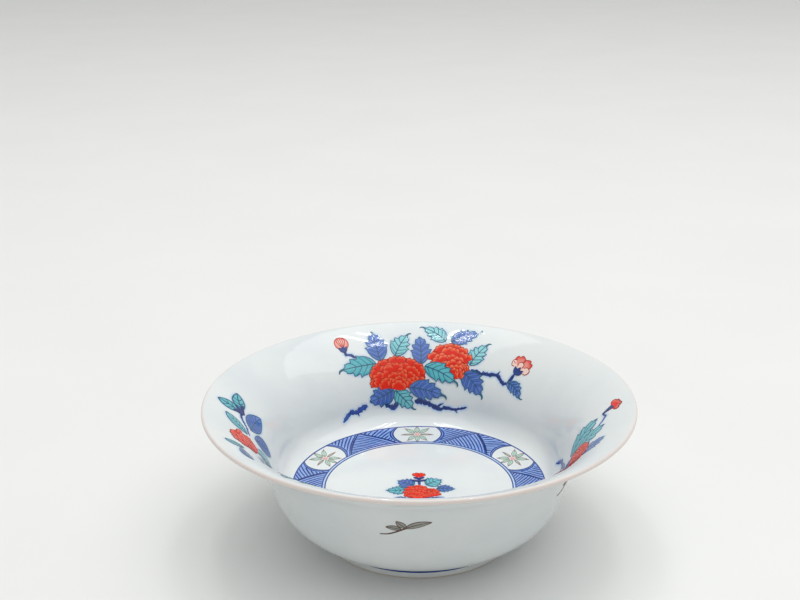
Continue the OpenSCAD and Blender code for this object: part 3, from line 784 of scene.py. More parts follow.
def paint_branch(coat, place, pts, w0, w1, level, seed, knots=0.42, pale=0.0):
    """A knobby branch with hard bends, deep inside and paler along its edges, or the other way round"""
    rng = Random(seed)
    line = [pts[0]]
    for p, q in zip(pts, pts[1:]):
        n = max(2, round(hypot(q[0] - p[0], q[1] - p[1]) / 0.9))
        line += [between(p, q, k / n) for k in range(1, n + 1)]
    last = len(line) - 1
    cross = (-1.0, -0.75, -0.4, 0.0, 0.4, 0.75, 1.0)
    rows, tones = [], []
    for i, p in enumerate(line):
        half = (w0 + (w1 - w0) * i / last) / 2
        end = min(1.0, 0.4 + 0.4 * min(i, last - i))
        sides = [half * end * (1 + knots * rng.uniform(-1, 1)) for _ in (0, 1)]
        rows.append([moved(p, v * sides[v > 0], sideways(line, i)) for v in cross])
        tones.append([1.05 - pale + (pale - 0.85 * (1 - pale)) * abs(v) ** 2.5 + 0.2 * rng.uniform(-1, 1)
                      for v in cross])
    bleed(coat, place, [row[0] for row in rows] + [row[-1] for row in reversed(rows)], 1.6, 0.6, 1)
    coat.layer(place, rows, [[level + 0.05 + 0.06 * (1 - v * v) for v in cross]] * len(rows), tones, FILL)


def paint_sepal(coat, place, start, end, width, low, high, middle_tone):
    """A small pointed leaf in plain strokes"""
    rows = Leaf(start, end, width, 0).rows((-1, 0, 1))
    coat.layer(place, rows, [[low, high, low]] * len(rows), [[1.0, middle_tone, 1.0]] * len(rows), FILL)


def paint_sheath(coat, place, start, end, w0, w1):
    """A plain tapered stroke that holds a bud"""
    shares = steps(0, 1, 6)
    pts, widths = [between(start, end, f) for f in shares], [w0 + (w1 - w0) * f for f in shares]
    coat.stroke(place, pts, widths, 0.26, FILL, 0.95)


# Motifs on the wall, with each point as [azimuth from the spray's middle, drawn height]
# Heads are [middle, half width, rise, drop, lean], leaves [base, tip, width, bend, tone, lift, tail]
# Branches are [points, width at the start, width at the end, how pale], as shares of the branch width

OLD_BRANCH = ((((37.4, -2), (34.6, 0.6), (32.4, 1.7), (29.6, 1.1), (27.2, 2.6), (24.6, 3.6)),
               0.7, 1.15, 0.75),
              (((32.9, 1.6), (32.6, 3.2)), 0.7, 0.3), (((29.4, 1), (29, -0.9)), 0.7, 0.3),
              (((16.6, 3.5), (14.8, 1.8), (12.8, 1.2), (10.2, 3.4)), 1.1, 1.2),
              (((3.4, 3.7), (-0.4, 3.6), (-4.2, 1.7), (-7.7, -0.2), (-10.5, 0.9), (-15, 0.3), (-20, 2.3)),
               1.25, 0.4),
              (((-6.4, 0.8), (-9.6, 3.2)), 0.7, 0.2), (((-14.4, 0.4), (-16, -1.2)), 0.5, 0.2))
BACK_HEADS = (((10.2, 16), 14.4, 10.6, 6), ((-10.3, 27), 10, 6.8, 10.6, 5.2))
BACK_GREEN = (((18.3, 23.5), (32, 23), 9.8, 0, 0.75), ((10.4, 26.8), (5.5, 38), 8.8, 0.03, 0.3),
              ((11.5, 9.3), (4.4, 0.2), 8, 0, 0.55), ((-0.9, 20.8), (-13.6, 14), 8.6, 0.04, 0.7, 0.34),
              ((-8, 34.9), (-0.4, 42.8), 7.8, -0.04, 0.15), ((-18.6, 23.2), (-22.9, 34.8), 7.8, 0.03, 0.2))
BACK_BLUE = (((16.3, 24.8), (17, 40.8), 10, 0.02, 0.4, 0, 0.1), ((0.6, 22), (1.2, 37), 9, -0.02, 0.45, 0, 0),
             ((12.2, 9.6), (23.2, 5), 10, 0.03, 0.5, 0, 0), ((5.5, 10.4), (-8.8, 6.9), 9, 0.03, 0.45, 0.34),
             ((-10, 34.6), (-18.6, 41.4), 8.2, 0.03, 0.35), ((-16.5, 19.1), (-25.6, 9.6), 9.8, 0.04, 0.5),
             ((-35.8, 18.4), (-43.6, 12.9), 5.6, 0.13, 0.1))
BACK_BRANCHES = OLD_BRANCH + (
    (((-19.4, 20.8), (-23.8, 19.6), (-27.1, 19.9), (-30.6, 20.6), (-32.6, 18.6), (-34.5, 17.2),
      (-36.2, 18.2)), 0.9, 0.6),
    (((-30.2, 20.4), (-31.4, 22.8)), 0.6, 0.25), (((-23.9, 19.6), (-24.8, 21.4)), 0.5, 0.2),
    (((-36, 18.1), (-37.1, 21), (-37.7, 23.6)), 0.5, 0.62),
    (((29, 32.6), (28.6, 30.3), (26.8, 29.7), (25.2, 27.6)), 0.62, 0.55))

RIGHT_HEADS = (((6.8, 16.6), 14.5, 11.6, 6.4), ((-11, 23), 10, 7, 10.6, 5.6))
RIGHT_GREEN = (((21.6, 11), (27.6, 29.6), 11.6, 0.02, 0.55), ((17, 16), (20.4, 33), 11, -0.02, 0.55),
               ((11.5, 9.3), (4.4, 0.2), 8, 0, 0.55), ((-20, 19), (-25, 30), 7.5, 0.05, 0.3))
RIGHT_BLUE = (((4, 25), (10.4, 35.2), 10, 0.04, 0.3), ((12.2, 9.6), (22.6, 4.2), 8.8, 0.03, 0.5),
              ((5.5, 10.4), (-8.8, 6.9), 9, 0.03, 0.45), ((-18.6, 16), (-27.5, 6), 8, 0.06, 0.5))
RIGHT_BRANCHES = OLD_BRANCH + ((((28.1, 33), (25.6, 34), (23.8, 32.4), (22, 30)), 0.45, 0.4),)

LEFT_HEADS = (((-10, 29.4), 7.2, 7.4, 8.4), ((19, 21), 10, 8, 8))
LEFT_BUDS = (((-29.4, 31.4), (-30.2, 42.6), 6.6), ((-31.2, 30.6), (-38, 36.4), 6.4),
             ((31, 30.2), (31, 41), 6.4), ((33, 29.6), (39.6, 35), 6))
LEFT_GREEN = (((-17.8, 25.9), (-24, 37.5), 6.4, 0.03, 0.4), ((-8.2, 21.6), (-15.4, 5), 9.4, 0.04, 0.35),
              ((-0.9, 33.6), (-3.2, 41.6), 4.6, 0.05, 0.2), ((22, 30.5), (26, 41.5), 6.5, 0.04, 0.3),
              ((22, 12), (36, 9), 8, 0.05, 0.4), ((3, 9), (-7, 2), 6, 0.05, 0.4))
LEFT_BLUE = (((-23.4, 23.6), (-36.2, 21), 9.8, 0.02, 0.35), ((-19.6, 20.8), (-25, 7.6), 9.6, 0.04, 0.45),
             ((10.4, 37.8), (0.2, 35.8), 4, 0.03, 0.5), ((24, 20), (36, 22), 8, 0.04, 0.5),
             ((13, 9.2), (4, -1), 6.5, 0.04, 0.5))
LEFT_BRANCHES = ((((-29.2, 30.4), (-26, 29.4), (-22.4, 26), (-18, 24.4)), 0.6, 0.4),
                 (((31.6, 29), (27.4, 26.4), (24.4, 24.4)), 0.66, 0.5),
                 (((37, -2.4), (33, 1.6), (28, 1.4), (24, 3.6), (19, 3.4), (14.6, 5.2)), 1.0, 1.0))

# Petals of the open bud as [tip, facing, length, width, height, whether it is a red inner one]
OPEN_BUD = (((-6, 5.4), (-0.78, 0.62), 7, 4.2, 0.1, False), ((-2.6, 7.8), (-0.3, 0.95), 6.8, 6, 0.12, True),
            ((4.8, 5.8), (0.72, 0.69), 7, 6, 0.12, True), ((7.2, 1.2), (0.98, 0.16), 7.6, 4, 0.16, False),
            ((0.6, 5.2), (0.3, 0.95), 4.8, 3.4, 0.18, False))
# The bud on the right wall: its base, the tips of its petals and the foot of its cup
RIGHT_BUD = (29, 37.2), (32.4, 41.4), (27.4, 41.4), (30.2, 42.8), (28, 32.6)
# The forks on the left wall that hold the buds, with their ends
LEFT_FORKS = (((-29, 29.4), ((-28.2, 34.4), (-31.4, 34.2), (-33.6, 31.4))),
              ((31.4, 28.6), ((29.8, 33), (32.6, 33), (35.4, 31))))
# Lengths of a petal in the flower heads
WALL_PETAL, CENTRE_PETAL = 4.8, 2.9

# Motifs on the floor as [right, back] in mm
CENTRE_HEADS = (((6, 0.2), 3.0, 4.2, 3), ((-0.6, 0.4), 6.2, 7.4, 5.4))
CENTRE_GREEN = (((-5.6, 3.4), (-14.2, 2.6), 6.6, 0.04, 0.6), ((3.4, 8), (10, 12), 8.2, 0.04, 0.5),
                ((7, -6.4), (11, -13), 5, 0.04, 0.5), ((-1, -6), (-4, -14), 5, 0.04, 0.4))
CENTRE_BLUE = (((-2.2, 7.8), (-9, 11.6), 8.2, 0.04, 0.5), ((8, 4.2), (15.6, 3.2), 5.8, 0.04, 0.5),
               ((-6, -6.4), (-12.4, -12), 5, 0.04, 0.5), ((3, -6), (5, -14), 5, 0.04, 0.5))
CENTRE_BUD = (((-2.0, 19.2), (-0.45, 0.89)), ((2.4, 19.0), (0.46, 0.89)))
CENTRE_STEMS = ((((-11, -4.2), (-8, -3.4), (-5.4, -4.6), (0, -5.4)), 0.7, 1.8),
                (((0, -5.4), (6.8, -4.2), (9, -3.8), (11, -4)), 1.6, 0.7))

# Leaves of a sprig on the outer wall as [base, tip, width, bend] in mm, and its stem
SPRIG_LEAVES = (((0.2, 0), (10.4, 4), 3.4, 0.05), ((0.6, 0.4), (-3.2, 4.4), 3, 0.06),
                ((-1.4, -0.8), (-7.6, 0.2), 2.6, -0.05))
SPRIG_STEM = (-10.4, -4.2), (-7, -3.8), (-3.4, -2.2), (0.6, 0.2)

# Azimuths of the medallions, the sprays' middles and the first sprig, and the sprigs' number and height
MEDALLIONS_AT = (28, 90, 150, 210, 270, 330)
BACK_AT, RIGHT_AT, LEFT_AT, SPRIG_AT = 87.5, 328.5, 207, 264.5
SPRIGS, SPRIG_UP = 5, 5.0
# How far the feet of the hatching's two diagonals lie from the middle of their stretch, and their width
DIAGONAL_LEFT, DIAGONAL_RIGHT, DIAGONAL_W = 14.2, 15.2, 0.72
# Slant in degrees and spacing of the ruled lines in each of the three fields, and their least and most width
RULED, RULED_W = ((44, 1.45), (-42, 1.5), (38, 1.65)), (0.58, 0.74)
# More lines to each side than a field can hold, and a length that reaches beyond any field
MOST_LINES, BEYOND = 30, 60
# A medallion's oval is this much wider than the band that cuts it off
OVAL_CUT = 1.45
# Layers of a medallion's rim as [from, to, height, finish]: a wash, and a line along each of its sides
MEDALLION_RIMS, RIM_STEPS = ((0.0, 1.0, 0.05, 1), (0.0, 0.36, 0.08, 0), (0.64, 1.0, 0.08, 0)), 24
# Heights of the lines that run right round the bowl and of the wash between them
HOOP_TOP, WASH_TOP = 0.06, 0.03


def wall_leaves(sec, azimuth, leaves, line_w, teeth, veins, stroke=0.0, tail=0.0):
    coat = Coat()
    for i, (start, end, width, bend, tone, *rest) in enumerate(leaves):
        lift, own_tail = rest + [0.0, tail][len(rest):]
        place, (a, b) = laid(sec, azimuth, start, end)
        paint_leaf(coat, place, Leaf(a, b, width, teeth, bend), NEXT_LEAF * i + lift, tone, line_w, veins,
                   own_tail, -1.0 if i % 2 else 1.0, stroke)
    return coat


def wall_heads(sec, azimuth, heads):
    coat = Coat()
    for i, (at, rx, rise, drop, *lean) in enumerate(heads):
        place = on_wall(sec, azimuth + at[0], at[1])
        paint_peony(coat, place, rx, rise, drop, WALL_PETAL, FLOWER + 0.012 * i, lean=sum(lean),
                    edge=0.0 if i else 0.35, seed=11 + i)
    return coat


def wall_branches(sec, azimuth, branches, branch_w):
    coat = Coat()
    for i, (pts, w0, w1, *pale) in enumerate(branches):
        place, flat = laid(sec, azimuth, *pts)
        paint_branch(coat, place, flat, w0 * branch_w, w1 * branch_w, 0.003 * i, 7 + i, pale=sum(pale))
    return coat


def paint_calyx(coat, place, at, facing, size):
    """Three pointed sepals that hold a bud"""
    for k in (-1, 0, 1):
        c, s = along(0.62 * k)
        way = facing[0] * c - facing[1] * s, facing[0] * s + facing[1] * c
        paint_sepal(coat, place, at, moved(at, size, way), 0.5 * size, 0.28, 0.31, 0.7)


def back_buds(sec, branches, line_w):
    """The closed bud and the open bud of the back spray, and the cups that hold them"""
    coat = Coat()
    thin = line_w * 0.8
    place = on_wall(sec, BACK_AT + 28.8, 37)
    ring = round_about(3.5, 3.8, 36)
    coat.blob(place, ring, (0.5, 0.9), 0.1, 0.12, (0.25, 0.75))
    coat.stroke(place, ring + ring[:1], thin, 0.17, DRAWN, 0.5)
    for k in (-2, -1, 0, 1, 2):
        fold = smooth([(0.1 * k, -2.6), (0.75 * k, -0.4), (1.05 * k, 1.6), (0.7 * k, 3.2)], 4)
        coat.stroke(place, fold, thin, 0.26, DRAWN, 0.4)
    paint_calyx(branches, place, (-0.2, -5.2), (0.0, 1.0), 3.8)
    place = on_wall(sec, BACK_AT - 38.7, 25.6)
    for tip, facing, long, wide, level, inner in OPEN_BUD:
        tones, lobes = ((0.62, 0.95), 2) if inner else ((0.1, 0.0), 0)
        paint_petal(coat, place, tip, facing, long, wide, level, tones, thin, lobes, 0.7)
    paint_calyx(branches, place, (-0.9, -2.6), (0.25, 0.97), 4.6)
    return coat


def right_buds(sec, branches, line_w):
    """The bud of three petals on the right spray, on its tapered cup"""
    coat = Coat()
    place, (base, *tips, foot) = laid(sec, RIGHT_AT, *RIGHT_BUD)
    for tip in tips:
        dx, dy = tip[0] - base[0], tip[1] - base[1]
        far = hypot(dx, dy)
        paint_petal(coat, place, tip, (dx / far, dy / far), far, 4.2, 0.12, (1.0, 0.7), line_w, 1)
    paint_sheath(branches, place, between(base, foot, -0.24), foot, 3.2, 0.7)
    return coat


def left_buds(sec, branches, line_w):
    """The smooth buds of the left spray, on their forked cups"""
    for fork, ends in LEFT_FORKS:
        for end in ends:
            place, (a, b) = laid(sec, LEFT_AT, fork, end)
            paint_sheath(branches, place, a, b, 2.0, 1.2)
    return wall_leaves(sec, LEFT_AT, [(a, b, w, 0.04, 0.6) for a, b, w in LEFT_BUDS], line_w * 1.4, 0, 3)


# Operators

class BOWL_OT_body(Operator):
    """Turns the porcelain body of the bowl, with its flared rim and hollow underside"""
    bl_idname = "bowl.body"
    bl_label = "Bowl body"

    def execute(self, context):
        sizes, sec, finishes = kit(context)
        coat = Coat()
        turned(coat, sec.outline(sizes.recess_d / MM), sizes.turns)
        make_piece("bowl_body_glazed", coat, [finishes.porcelain], "bowl_body")
        return {'FINISHED'}


class BOWL_OT_foot(Operator):
    """Turns the foot ring with its bare edge, and paints the blue line round it"""
    bl_idname = "bowl.foot"
    bl_label = "Foot ring"

    def execute(self, context):
        sizes, sec, finishes = kit(context)
        low, straight, top = FOOT_ROUND, FOOT_ROUND + 0.4, sec.foot_h + FOOT_INTO
        r0, r1 = sec.foot_in, sec.foot_out
        pts = [(r0 + low * (1 - cos(a)), low * (1 - sin(a))) for a in steps(0, pi / 2, 8)]
        pts += [(r1 - low + low * sin(a), low * (1 - cos(a))) for a in steps(0, pi / 2, 8)]
        pts += [sec.foot_face(z) for z in steps(straight, top, 10)]
        pts += [(r0, z) for z in steps(top, straight, 10)]
        coat = Coat()
        turned(coat, pts, sizes.turns, closed=True)
        make_piece("foot_ring_turned", coat, [finishes.foot], "foot_ring")
        line = Coat()
        half, mid = sizes.foot_line_w / MM / 2, sizes.foot_line_h / MM
        hoop(line, sec.foot_face, mid - half, mid + half, HOOP_TOP, sizes.turns, 0.6)
        painted("foot_line", line, "cobalt_line", finishes.cobalt)
        return {'FINISHED'}


class Band:
    """Places and sizes of the painted band, in millimetres"""

    def __init__(self, sizes, sec):
        self.sec = sec
        self.line = sizes.line_w / MM
        self.s_out = sec.floor_l + sizes.band_climb / MM
        r_out = sec.inner(self.s_out)[0]
        r_in = r_out - sizes.band_w / MM
        self.s_in = sec.floor_r * asin(r_in / sec.floor_r)
        self.wide = self.s_out - self.s_in
        self.mid_r = (r_in + r_out) / 2
        self.oval = sizes.medallion_l / MM / 2, OVAL_CUT * (self.wide / 2 - self.line)

    def frame(self, azimuth):
        """A frame on the band, with y outwards from its inner edge"""
        return on_face(self.sec.inner, azimuth, self.s_in, self.mid_r)

    def across(self, n):
        """Steps across the band from the middle of one edging line to the middle of the other"""
        return steps(self.line * 0.5, self.wide - self.line * 0.5, n)

    def reach(self, y, inset=0.0):
        """Half the medallion's length at y across the band, for an oval that the band's edges cut off"""
        q = (y - self.wide / 2) / self.oval[1]
        return (self.oval[0] - inset) * max(0.0, 1 - q * q) ** 0.5

    def gaps(self):
        """Each stretch between two medallions as [azimuth it starts at, its length]"""
        ats = sorted(MEDALLIONS_AT, reverse=True)
        for a, b in zip(ats, ats[1:] + [ats[0] - 360]):
            yield a, radians(a - b) * self.mid_r


def cut_line(p, q, corners):
    """The stretch of a line that lies inside a field with straight sides, or None"""
    lo, hi = 0.0, 1.0
    for (ax, ay), (bx, by) in zip(corners, corners[1:] + corners[:1]):
        d0 = (bx - ax) * (p[1] - ay) - (by - ay) * (p[0] - ax)
        d1 = (bx - ax) * (q[1] - ay) - (by - ay) * (q[0] - ax)
        if d0 < 0 and d1 < 0:
            return None
        if d0 < 0:
            lo = max(lo, d0 / (d0 - d1))
        elif d1 < 0:
            hi = min(hi, d0 / (d0 - d1))
    if hi - lo < TINY:
        return None
    return between(p, q, lo), between(p, q, hi)


class BOWL_OT_band(Operator):
    """Paints the blue band on the floor: its wash, its hatched fields and the lines that edge it"""
    bl_idname = "bowl.band"
    bl_label = "Painted band"

    def execute(self, context):
        sizes, sec, finishes = kit(context)
        band = Band(sizes, sec)
        coat = Coat()
        rng = Random(5)
        for start, run in band.gaps():
            place = band.frame(start)
            rows = [[(x, y) for x in steps(band.reach(y), run - band.reach(y), 44)] for y in band.across(16)]
            tones = [[0.3 + 0.3 * rng.uniform(-1, 1) for _ in row] for row in rows]
            tops = [[WASH_TOP] * len(row) for row in rows]
            coat.layer(place, rows, tops, tones, FILL, base=WASH_SUNK)
            self.hatch(coat, place, band, run, rng)
        painted("band_ground", coat, "cobalt_wash", finishes.wash, finishes.cobalt)
        lines = Coat()
        gap = sizes.line_gap / MM
        for a in (band.s_in - gap - band.line, band.s_in, band.s_out - band.line):
            hoop(lines, sec.inner, a, a + band.line, HOOP_TOP, sizes.turns, 0.45)
        hoop(lines, sec.inner, band.s_in - gap, band.s_in, WASH_TOP, sizes.turns, 0.6, 1)
        painted("band_lines", lines, "cobalt_line", finishes.cobalt, finishes.porcelain)
        return {'FINISHED'}

    def hatch(self, coat, place, band, run, rng):
        """Two diagonals that meet at the outer edge, and three fields ruled along them"""
        w, half = band.wide, run / 2
        left, top, right = (half - DIAGONAL_LEFT, 0), (half, w), (half + DIAGONAL_RIGHT, 0)
        fields = [(0, 0), left, top, (0, w)], [left, right, top], [right, (run, 0), (run, w), top]
        for corners, (slant, gap) in zip(fields, RULED):
            a = radians(slant)
            mid = sum(x for x, _ in corners) / len(corners), sum(y for _, y in corners) / len(corners)
            for k in range(-MOST_LINES, MOST_LINES + 1):
                c = moved(mid, gap * k + rng.uniform(-0.08, 0.08), up(a))
                way = along(a + rng.uniform(-0.02, 0.02))
                ends = cut_line(moved(c, -BEYOND, way), moved(c, BEYOND, way), corners)
                if ends:
                    self.brush(coat, place, band, run, ends, rng.uniform(*RULED_W), 0.055, rng)
        for foot in (left, right):
            self.brush(coat, place, band, run, (foot, top), DIAGONAL_W, 0.07, rng)

    def brush(self, coat, place, band, run, ends, width, top, rng):
        """One brush line, left off where a medallion lies"""
        p, q = ends
        kept = [[]]
        for t in steps(0, 1, max(2, round(hypot(q[0] - p[0], q[1] - p[1]) / 0.6))):
            x, y = between(p, q, t)
            clear = band.reach(y) + 0.1 < x < run - band.reach(y) - 0.1
            if clear and band.line * 0.4 < y < band.wide - band.line * 0.4:
                kept[-1].append((x, y))
            else:
                kept.append([])
        for pts in kept:
            if len(pts) > 2:
                widths = [width * (0.75 + 0.35 * sin(pi * f)) for f in steps(0, 1, len(pts) - 1)]
                coat.stroke(place, pts, widths, top, DRAWN, 0.65 + 0.35 * rng.random())


class BOWL_OT_medallions(Operator):
    """Paints the white medallions' blue rims, and the eight-petalled flower in each"""
    bl_idname = "bowl.medallions"
    bl_label = "Medallions"

    def execute(self, context):
        sizes, sec, finishes = kit(context)
        band = Band(sizes, sec)
        rims, petals, hearts = Coat(), Coat(), Coat()
        long, end = sizes.petal_l / MM, sizes.medallion_end / MM
        shade = [1.0 - 0.2 * sin(pi * f) for f in steps(0, 1, RIM_STEPS)]
        for at in MEDALLIONS_AT:
            ring = band.frame(at)
            for first, last, top, finish in MEDALLION_RIMS:
                for side in (-1, 1):
                    grid = [[(side * band.reach(y, end * f), y) for y in band.across(RIM_STEPS)]
                            for f in steps(first, last, 3)]
                    rims.layer(ring, grid, [[top] * len(shade)] * len(grid), [shade] * len(grid), finish)
            place = shifted(ring, 0.0, band.wide / 2)
            for k in range(8):
                self.petal(petals, place, along(pi / 4 * k), long, k)
            hearts.blob(place, round_about(0.2 * long, 0.2 * long, 20), (0, 0), 0.1, 0.08, (0.3, 0.75))
        painted("medallion_rims", rims, "cobalt_line", finishes.cobalt, finishes.wash)
        painted("medallion_petals", petals, "pale_green_enamel", finishes.pale_green, finishes.petal_line)
        painted("medallion_hearts", hearts, "pink_enamel", finishes.pink)
        return {'FINISHED'}

    def petal(self, petals, place, way, long, k):
        """One petal of a medallion's flower, narrow where it lies along the band"""
        flat = k % 4 == 0
        start = moved((0, 0), 0.3 * long, way)
        size = long * (1.15 if flat else 1.12 if k % 2 else 0.96)
        leaf = Leaf(start, moved(start, size, way), (0.22 if flat else 0.42) * long, 0)
        cross = (-1.0, -0.5, 0.0, 0.5, 1.0)
        tops = leaf.rows(cross, lambda t, v: 0.05 + 0.05 * (1 - v * v))
        petals.layer(place, leaf.rows(cross), tops, leaf.rows(cross, lambda t, v: 0.35 + 0.3 * v * v), FILL)
        for side in (-1, 1):
            petals.stroke(place, leaf.side(side), 0.22, 0.1, DRAWN, 0.2 if flat else 0.9)
        petals.stroke(place, [leaf.at(t, 0) for t in steps(0.1, 1.12, 8)], 0.18, 0.13, DRAWN, 0.5)


class BOWL_OT_centre(Operator):
    """Paints the small flower spray in the middle of the floor"""
    bl_idname = "bowl.centre"
    bl_label = "Centre spray"

    def execute(self, context):
        sizes, sec, finishes = kit(context)
        line_w = sizes.outline_w / MM
        place = on_floor(sec)
        for name, leaves, stroke in (("green", CENTRE_GREEN, 0.0), ("blue", CENTRE_BLUE, 0.5)):
            coat = Coat()
            for i, (start, end, width, bend, tone) in enumerate(leaves):
                paint_leaf(coat, place, Leaf(start, end, width, 3, bend), NEXT_LEAF * i, tone, line_w, 3, 0.1,
                           1.0 if i % 2 else -1.0, stroke)
            painted("centre_%s_leaves" % name, coat, name + "_enamel", *finishes.leaf(name))
        heads = Coat()
        for (x, y), rx, rise, drop in CENTRE_HEADS:
            paint_peony(heads, shifted(place, x, y), rx, rise, drop, CENTRE_PETAL, outline=0.15)
        for tip, facing in CENTRE_BUD:
            paint_petal(heads, place, tip, facing, 5.0, 3.4, 0.12, (1.0, 0.6), 0.24, 1)
        painted("centre_flowers", heads, "red_enamel", finishes.red, finishes.red_line)
        stems = Coat()
        for i, (pts, w0, w1) in enumerate(CENTRE_STEMS):
            paint_branch(stems, place, pts, w0, w1, 0.002 * i, 3 + i)
        paint_branch(stems, place, ((0.3, 14.6), (0.2, 11), (0.3, 7.6)), 2.0, 1.1, 0.004, 9, 0.1)
        for side in (-1, 1):
            for y, long in ((11.2, 3.6), (13.6, 2.6)):
                paint_sepal(stems, place, (0.2, y), (0.2 + long * side, y + 1.4), 1.5, 0.24, 0.28, 0.8)
        painted("centre_stems", stems, "cobalt_line", finishes.cobalt, finishes.porcelain)
        return {'FINISHED'}


class BOWL_OT_wall_sprays(Operator):
    """Paints the peony sprays on the back and right walls and the smooth-leaved spray on the left wall"""
    bl_idname = "bowl.wall_sprays"
    bl_label = "Wall sprays"

    def execute(self, context):
        sizes, sec, finishes = kit(context)
        line_w, branch_w = sizes.outline_w / MM, sizes.branch_w / MM
        for name, azimuth, heads, green, blue, wood, make_buds, tail in (
                ("back", BACK_AT, BACK_HEADS, BACK_GREEN, BACK_BLUE, BACK_BRANCHES, back_buds, 0.18),
                ("right", RIGHT_AT, RIGHT_HEADS, RIGHT_GREEN, RIGHT_BLUE, RIGHT_BRANCHES, right_buds, 0.04),
                ("left", LEFT_AT, LEFT_HEADS, LEFT_GREEN, LEFT_BLUE, LEFT_BRANCHES, left_buds, 0.0)):
            toothed = name != "left"
            teeth, veins = (3, 4) if toothed else (0, 5)
            for fill, leaves, stroke in (("green", green, 0.0), ("blue", blue, 0.7)):
                coat = wall_leaves(sec, azimuth, leaves, line_w, teeth, veins, stroke, tail)
                painted("%s_%s_leaves" % (name, fill), coat, fill + "_enamel", *finishes.leaf(fill))
            coat = wall_heads(sec, azimuth, heads)
            painted(name + "_flowers", coat, "red_enamel", finishes.red, finishes.red_line)
            branches = wall_branches(sec, azimuth, wood, branch_w)
            buds = make_buds(sec, branches, line_w)
            if toothed:
                painted(name + "_buds", buds, "pink_enamel", finishes.pink, finishes.red_line)
            else:
                painted(name + "_buds", buds, "green_enamel", *finishes.leaf("green"))
            painted(name + "_branches", branches, "cobalt_line", finishes.cobalt, finishes.porcelain)
        return {'FINISHED'}


class BOWL_OT_sprigs(Operator):
    """Paints the small sprigs round the outer wall, in colours greyed and darkened by painted shade"""
    bl_idname = "bowl.sprigs"
    bl_label = "Outside sprigs"

    def execute(self, context):
        _, sec, finishes = kit(context)
        coat = Coat()
        for i in range(SPRIGS):
            place = on_face(sec.outer, SPRIG_AT + 360 * i / SPRIGS, SPRIG_UP, way=1)
            for start, end, width, bend in SPRIG_LEAVES:
                paint_leaf(coat, place, Leaf(start, end, width, 0, bend), 0.0, 0.4, 0.32, 0, 0.0, halo=0.0)
            stem = smooth(SPRIG_STEM)
            coat.stroke(place, stem, [0.4 + 0.5 * f for f in steps(0, 1, len(stem) - 1)], 0.12, DRAWN, 0.8)
        painted("outside_sprigs", coat, "sprig_enamel", finishes.sprig, finishes.sprig_line)
        return {'FINISHED'}


# Stage, in metres, watts and degrees

FLOOR_RINGS, FLOOR_SIDES = (9.0, 3.0, 1.0, 0.3, 0.0), 64
# The wide key lamp: where it hangs, how wide it is and its power
KEY_AT, KEY_WIDE, KEY_POWER = (0.4, -0.1, 2.4), 3.2, 42.0
# Pairs of ceiling tubes as [name, middle of the pair, its place to the back, length, power]
TUBES = ("tube_right", 0.24, 0.26, 0.6, 0.65), ("tube_left", -0.17, 0.29, 0.5, 0.55)
# Height and width of a tube, its distance from the middle of its pair, and how far it looks to the back
TUBE_UP, TUBE_W, TUBE_OFF, TUBE_LOOK = 1.3, 0.014, 0.04, 0.01
# Colour and strength of the room's light, and of the plain background that the camera and the glaze see
ROOM_LIGHT, BACKGROUND = ((0.98, 1.0, 1.0, 1.0), 0.5), ((0.72, 0.72, 0.71, 1.0), 1.0)
# The camera: focal length and sensor width in mm, place, how far it looks down and how far it is turned
LENS, SENSOR = 55.8, 36.0
CAMERA_AT, CAMERA_DOWN, CAMERA_TURN = (-0.00775, -0.49544, 0.28469), 19.514, -0.492


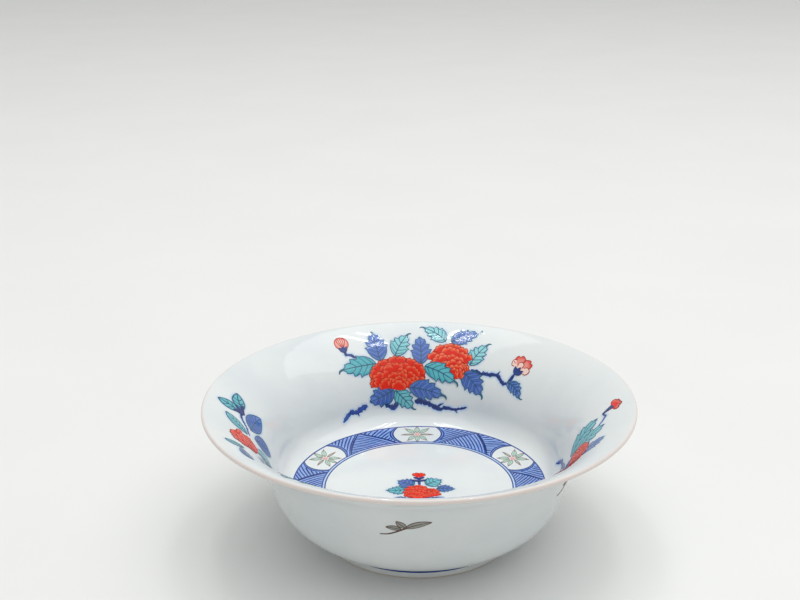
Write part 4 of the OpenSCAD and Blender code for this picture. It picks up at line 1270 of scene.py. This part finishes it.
class BOWL_OT_stage(Operator):
    """Lays the pale floor and sets the soft lights and the camera"""
    bl_idname = "bowl.stage"
    bl_label = "Stage"

    def execute(self, context):
        scene = context.scene
        scene.view_settings.view_transform = 'Standard'
        self.floor(scene)
        self.world(scene)
        self.lamp(scene, "key", KEY_AT, (0.0, 0.0, 0.0), KEY_WIDE, KEY_WIDE, KEY_POWER)
        for off in (-TUBE_OFF, TUBE_OFF):
            for name, middle, back, long, power in TUBES:
                at, to = (middle + off, back, TUBE_UP), (middle + off, back + TUBE_LOOK, 0.0)
                self.lamp(scene, name, at, to, TUBE_W, long, power)
        lens = bpy.data.cameras.new("photo_view")
        lens.lens, lens.sensor_width, lens.clip_start = LENS, SENSOR, 0.01
        camera = bpy.data.objects.new("photo_view", lens)
        camera.location = CAMERA_AT
        camera.rotation_mode = 'ZYX'
        camera.rotation_euler = (radians(90 - CAMERA_DOWN), 0.0, radians(CAMERA_TURN))
        scene.collection.objects.link(camera)
        scene.camera = camera
        return {'FINISHED'}

    def floor(self, scene):
        mesh = bpy.data.meshes.new("floor")
        coat = Coat()
        turned(coat, [(r / MM, 0.0) for r in FLOOR_RINGS], FLOOR_SIDES)
        mesh.from_pydata(coat.points, [], coat.faces)
        floor = bpy.data.objects.new("floor", mesh)
        scene.collection.objects.link(floor)
        fin = Finish("pale_floor", 0.7)
        pale = tuple(min(1.0, c * 1.06) for c in scene.bowl_colours.floor)
        fin.feed(fin.shader["Base Color"], fin.mixed(fin.noise(9.0, 5.0), scene.bowl_colours.floor, pale))
        mesh.materials.append(fin.made)

    def world(self, scene):
        world = bpy.data.worlds.new("soft_room")
        world.use_nodes = True
        nodes, link = world.node_tree.nodes, world.node_tree.links.new
        light, plain = nodes["Background"], nodes.new("ShaderNodeBackground")
        for node, (colour_of, strength) in ((light, ROOM_LIGHT), (plain, BACKGROUND)):
            node.inputs["Color"].default_value = colour_of
            node.inputs["Strength"].default_value = strength
        rays = nodes.new("ShaderNodeLightPath").outputs
        seen = rays["Is Camera Ray"]
        for ray in ("Is Glossy Ray", "Is Transmission Ray"):
            either = nodes.new("ShaderNodeMath")
            either.operation = 'MAXIMUM'
            link(seen, either.inputs[0])
            link(rays[ray], either.inputs[1])
            seen = either.outputs[0]
        mix = nodes.new("ShaderNodeMixShader")
        for socket, value in zip(mix.inputs, (seen, light.outputs[0], plain.outputs[0])):
            link(value, socket)
        link(mix.outputs[0], nodes["World Output"].inputs["Surface"])
        scene.world = world

    def lamp(self, scene, name, at, to, wide, deep, power):
        data = bpy.data.lights.new(name, 'AREA')
        data.shape, data.size, data.size_y, data.energy = 'RECTANGLE', wide, deep, power
        lamp = bpy.data.objects.new(name, data)
        lamp.location = at
        dx, dy, dz = (b - a for a, b in zip(at, to))
        lamp.rotation_euler = (atan2(hypot(dx, dy), -dz), 0.0, atan2(dy, dx) - pi / 2)
        scene.collection.objects.link(lamp)


OPERATORS = (BOWL_OT_body, BOWL_OT_foot, BOWL_OT_band, BOWL_OT_medallions, BOWL_OT_centre,
             BOWL_OT_wall_sprays, BOWL_OT_sprigs, BOWL_OT_stage)


class BOWL_PT_sidebar(Panel):
    """Lists the bowl's pieces with their sizes and colours"""
    bl_idname = "BOWL_PT_sidebar"
    bl_label = "Sweets bowl"
    bl_space_type = 'VIEW_3D'
    bl_region_type = 'UI'
    bl_category = "Bowl"

    def draw(self, context):
        layout = self.layout
        for operator in OPERATORS:
            layout.operator(operator.bl_idname)
        for group in (context.scene.bowl_sizes, context.scene.bowl_colours):
            box = layout.box()
            for name in group.__annotations__:
                box.prop(group, name)


CLASSES = (BowlSizes, BowlColours) + OPERATORS + (BOWL_PT_sidebar,)


def register():
    for cls in CLASSES:
        bpy.utils.register_class(cls)
    bpy.types.Scene.bowl_sizes = PointerProperty(type=BowlSizes)
    bpy.types.Scene.bowl_colours = PointerProperty(type=BowlColours)


def unregister():
    del bpy.types.Scene.bowl_colours
    del bpy.types.Scene.bowl_sizes
    for cls in reversed(CLASSES):
        bpy.utils.unregister_class(cls)


def main():
    register()
    bpy.ops.bowl.stage()
    bpy.ops.bowl.body()
    bpy.ops.bowl.foot()
    bpy.ops.bowl.band()
    bpy.ops.bowl.medallions()
    bpy.ops.bowl.centre()
    bpy.ops.bowl.wall_sprays()
    bpy.ops.bowl.sprigs()


if __name__ == "__main__":
    main()
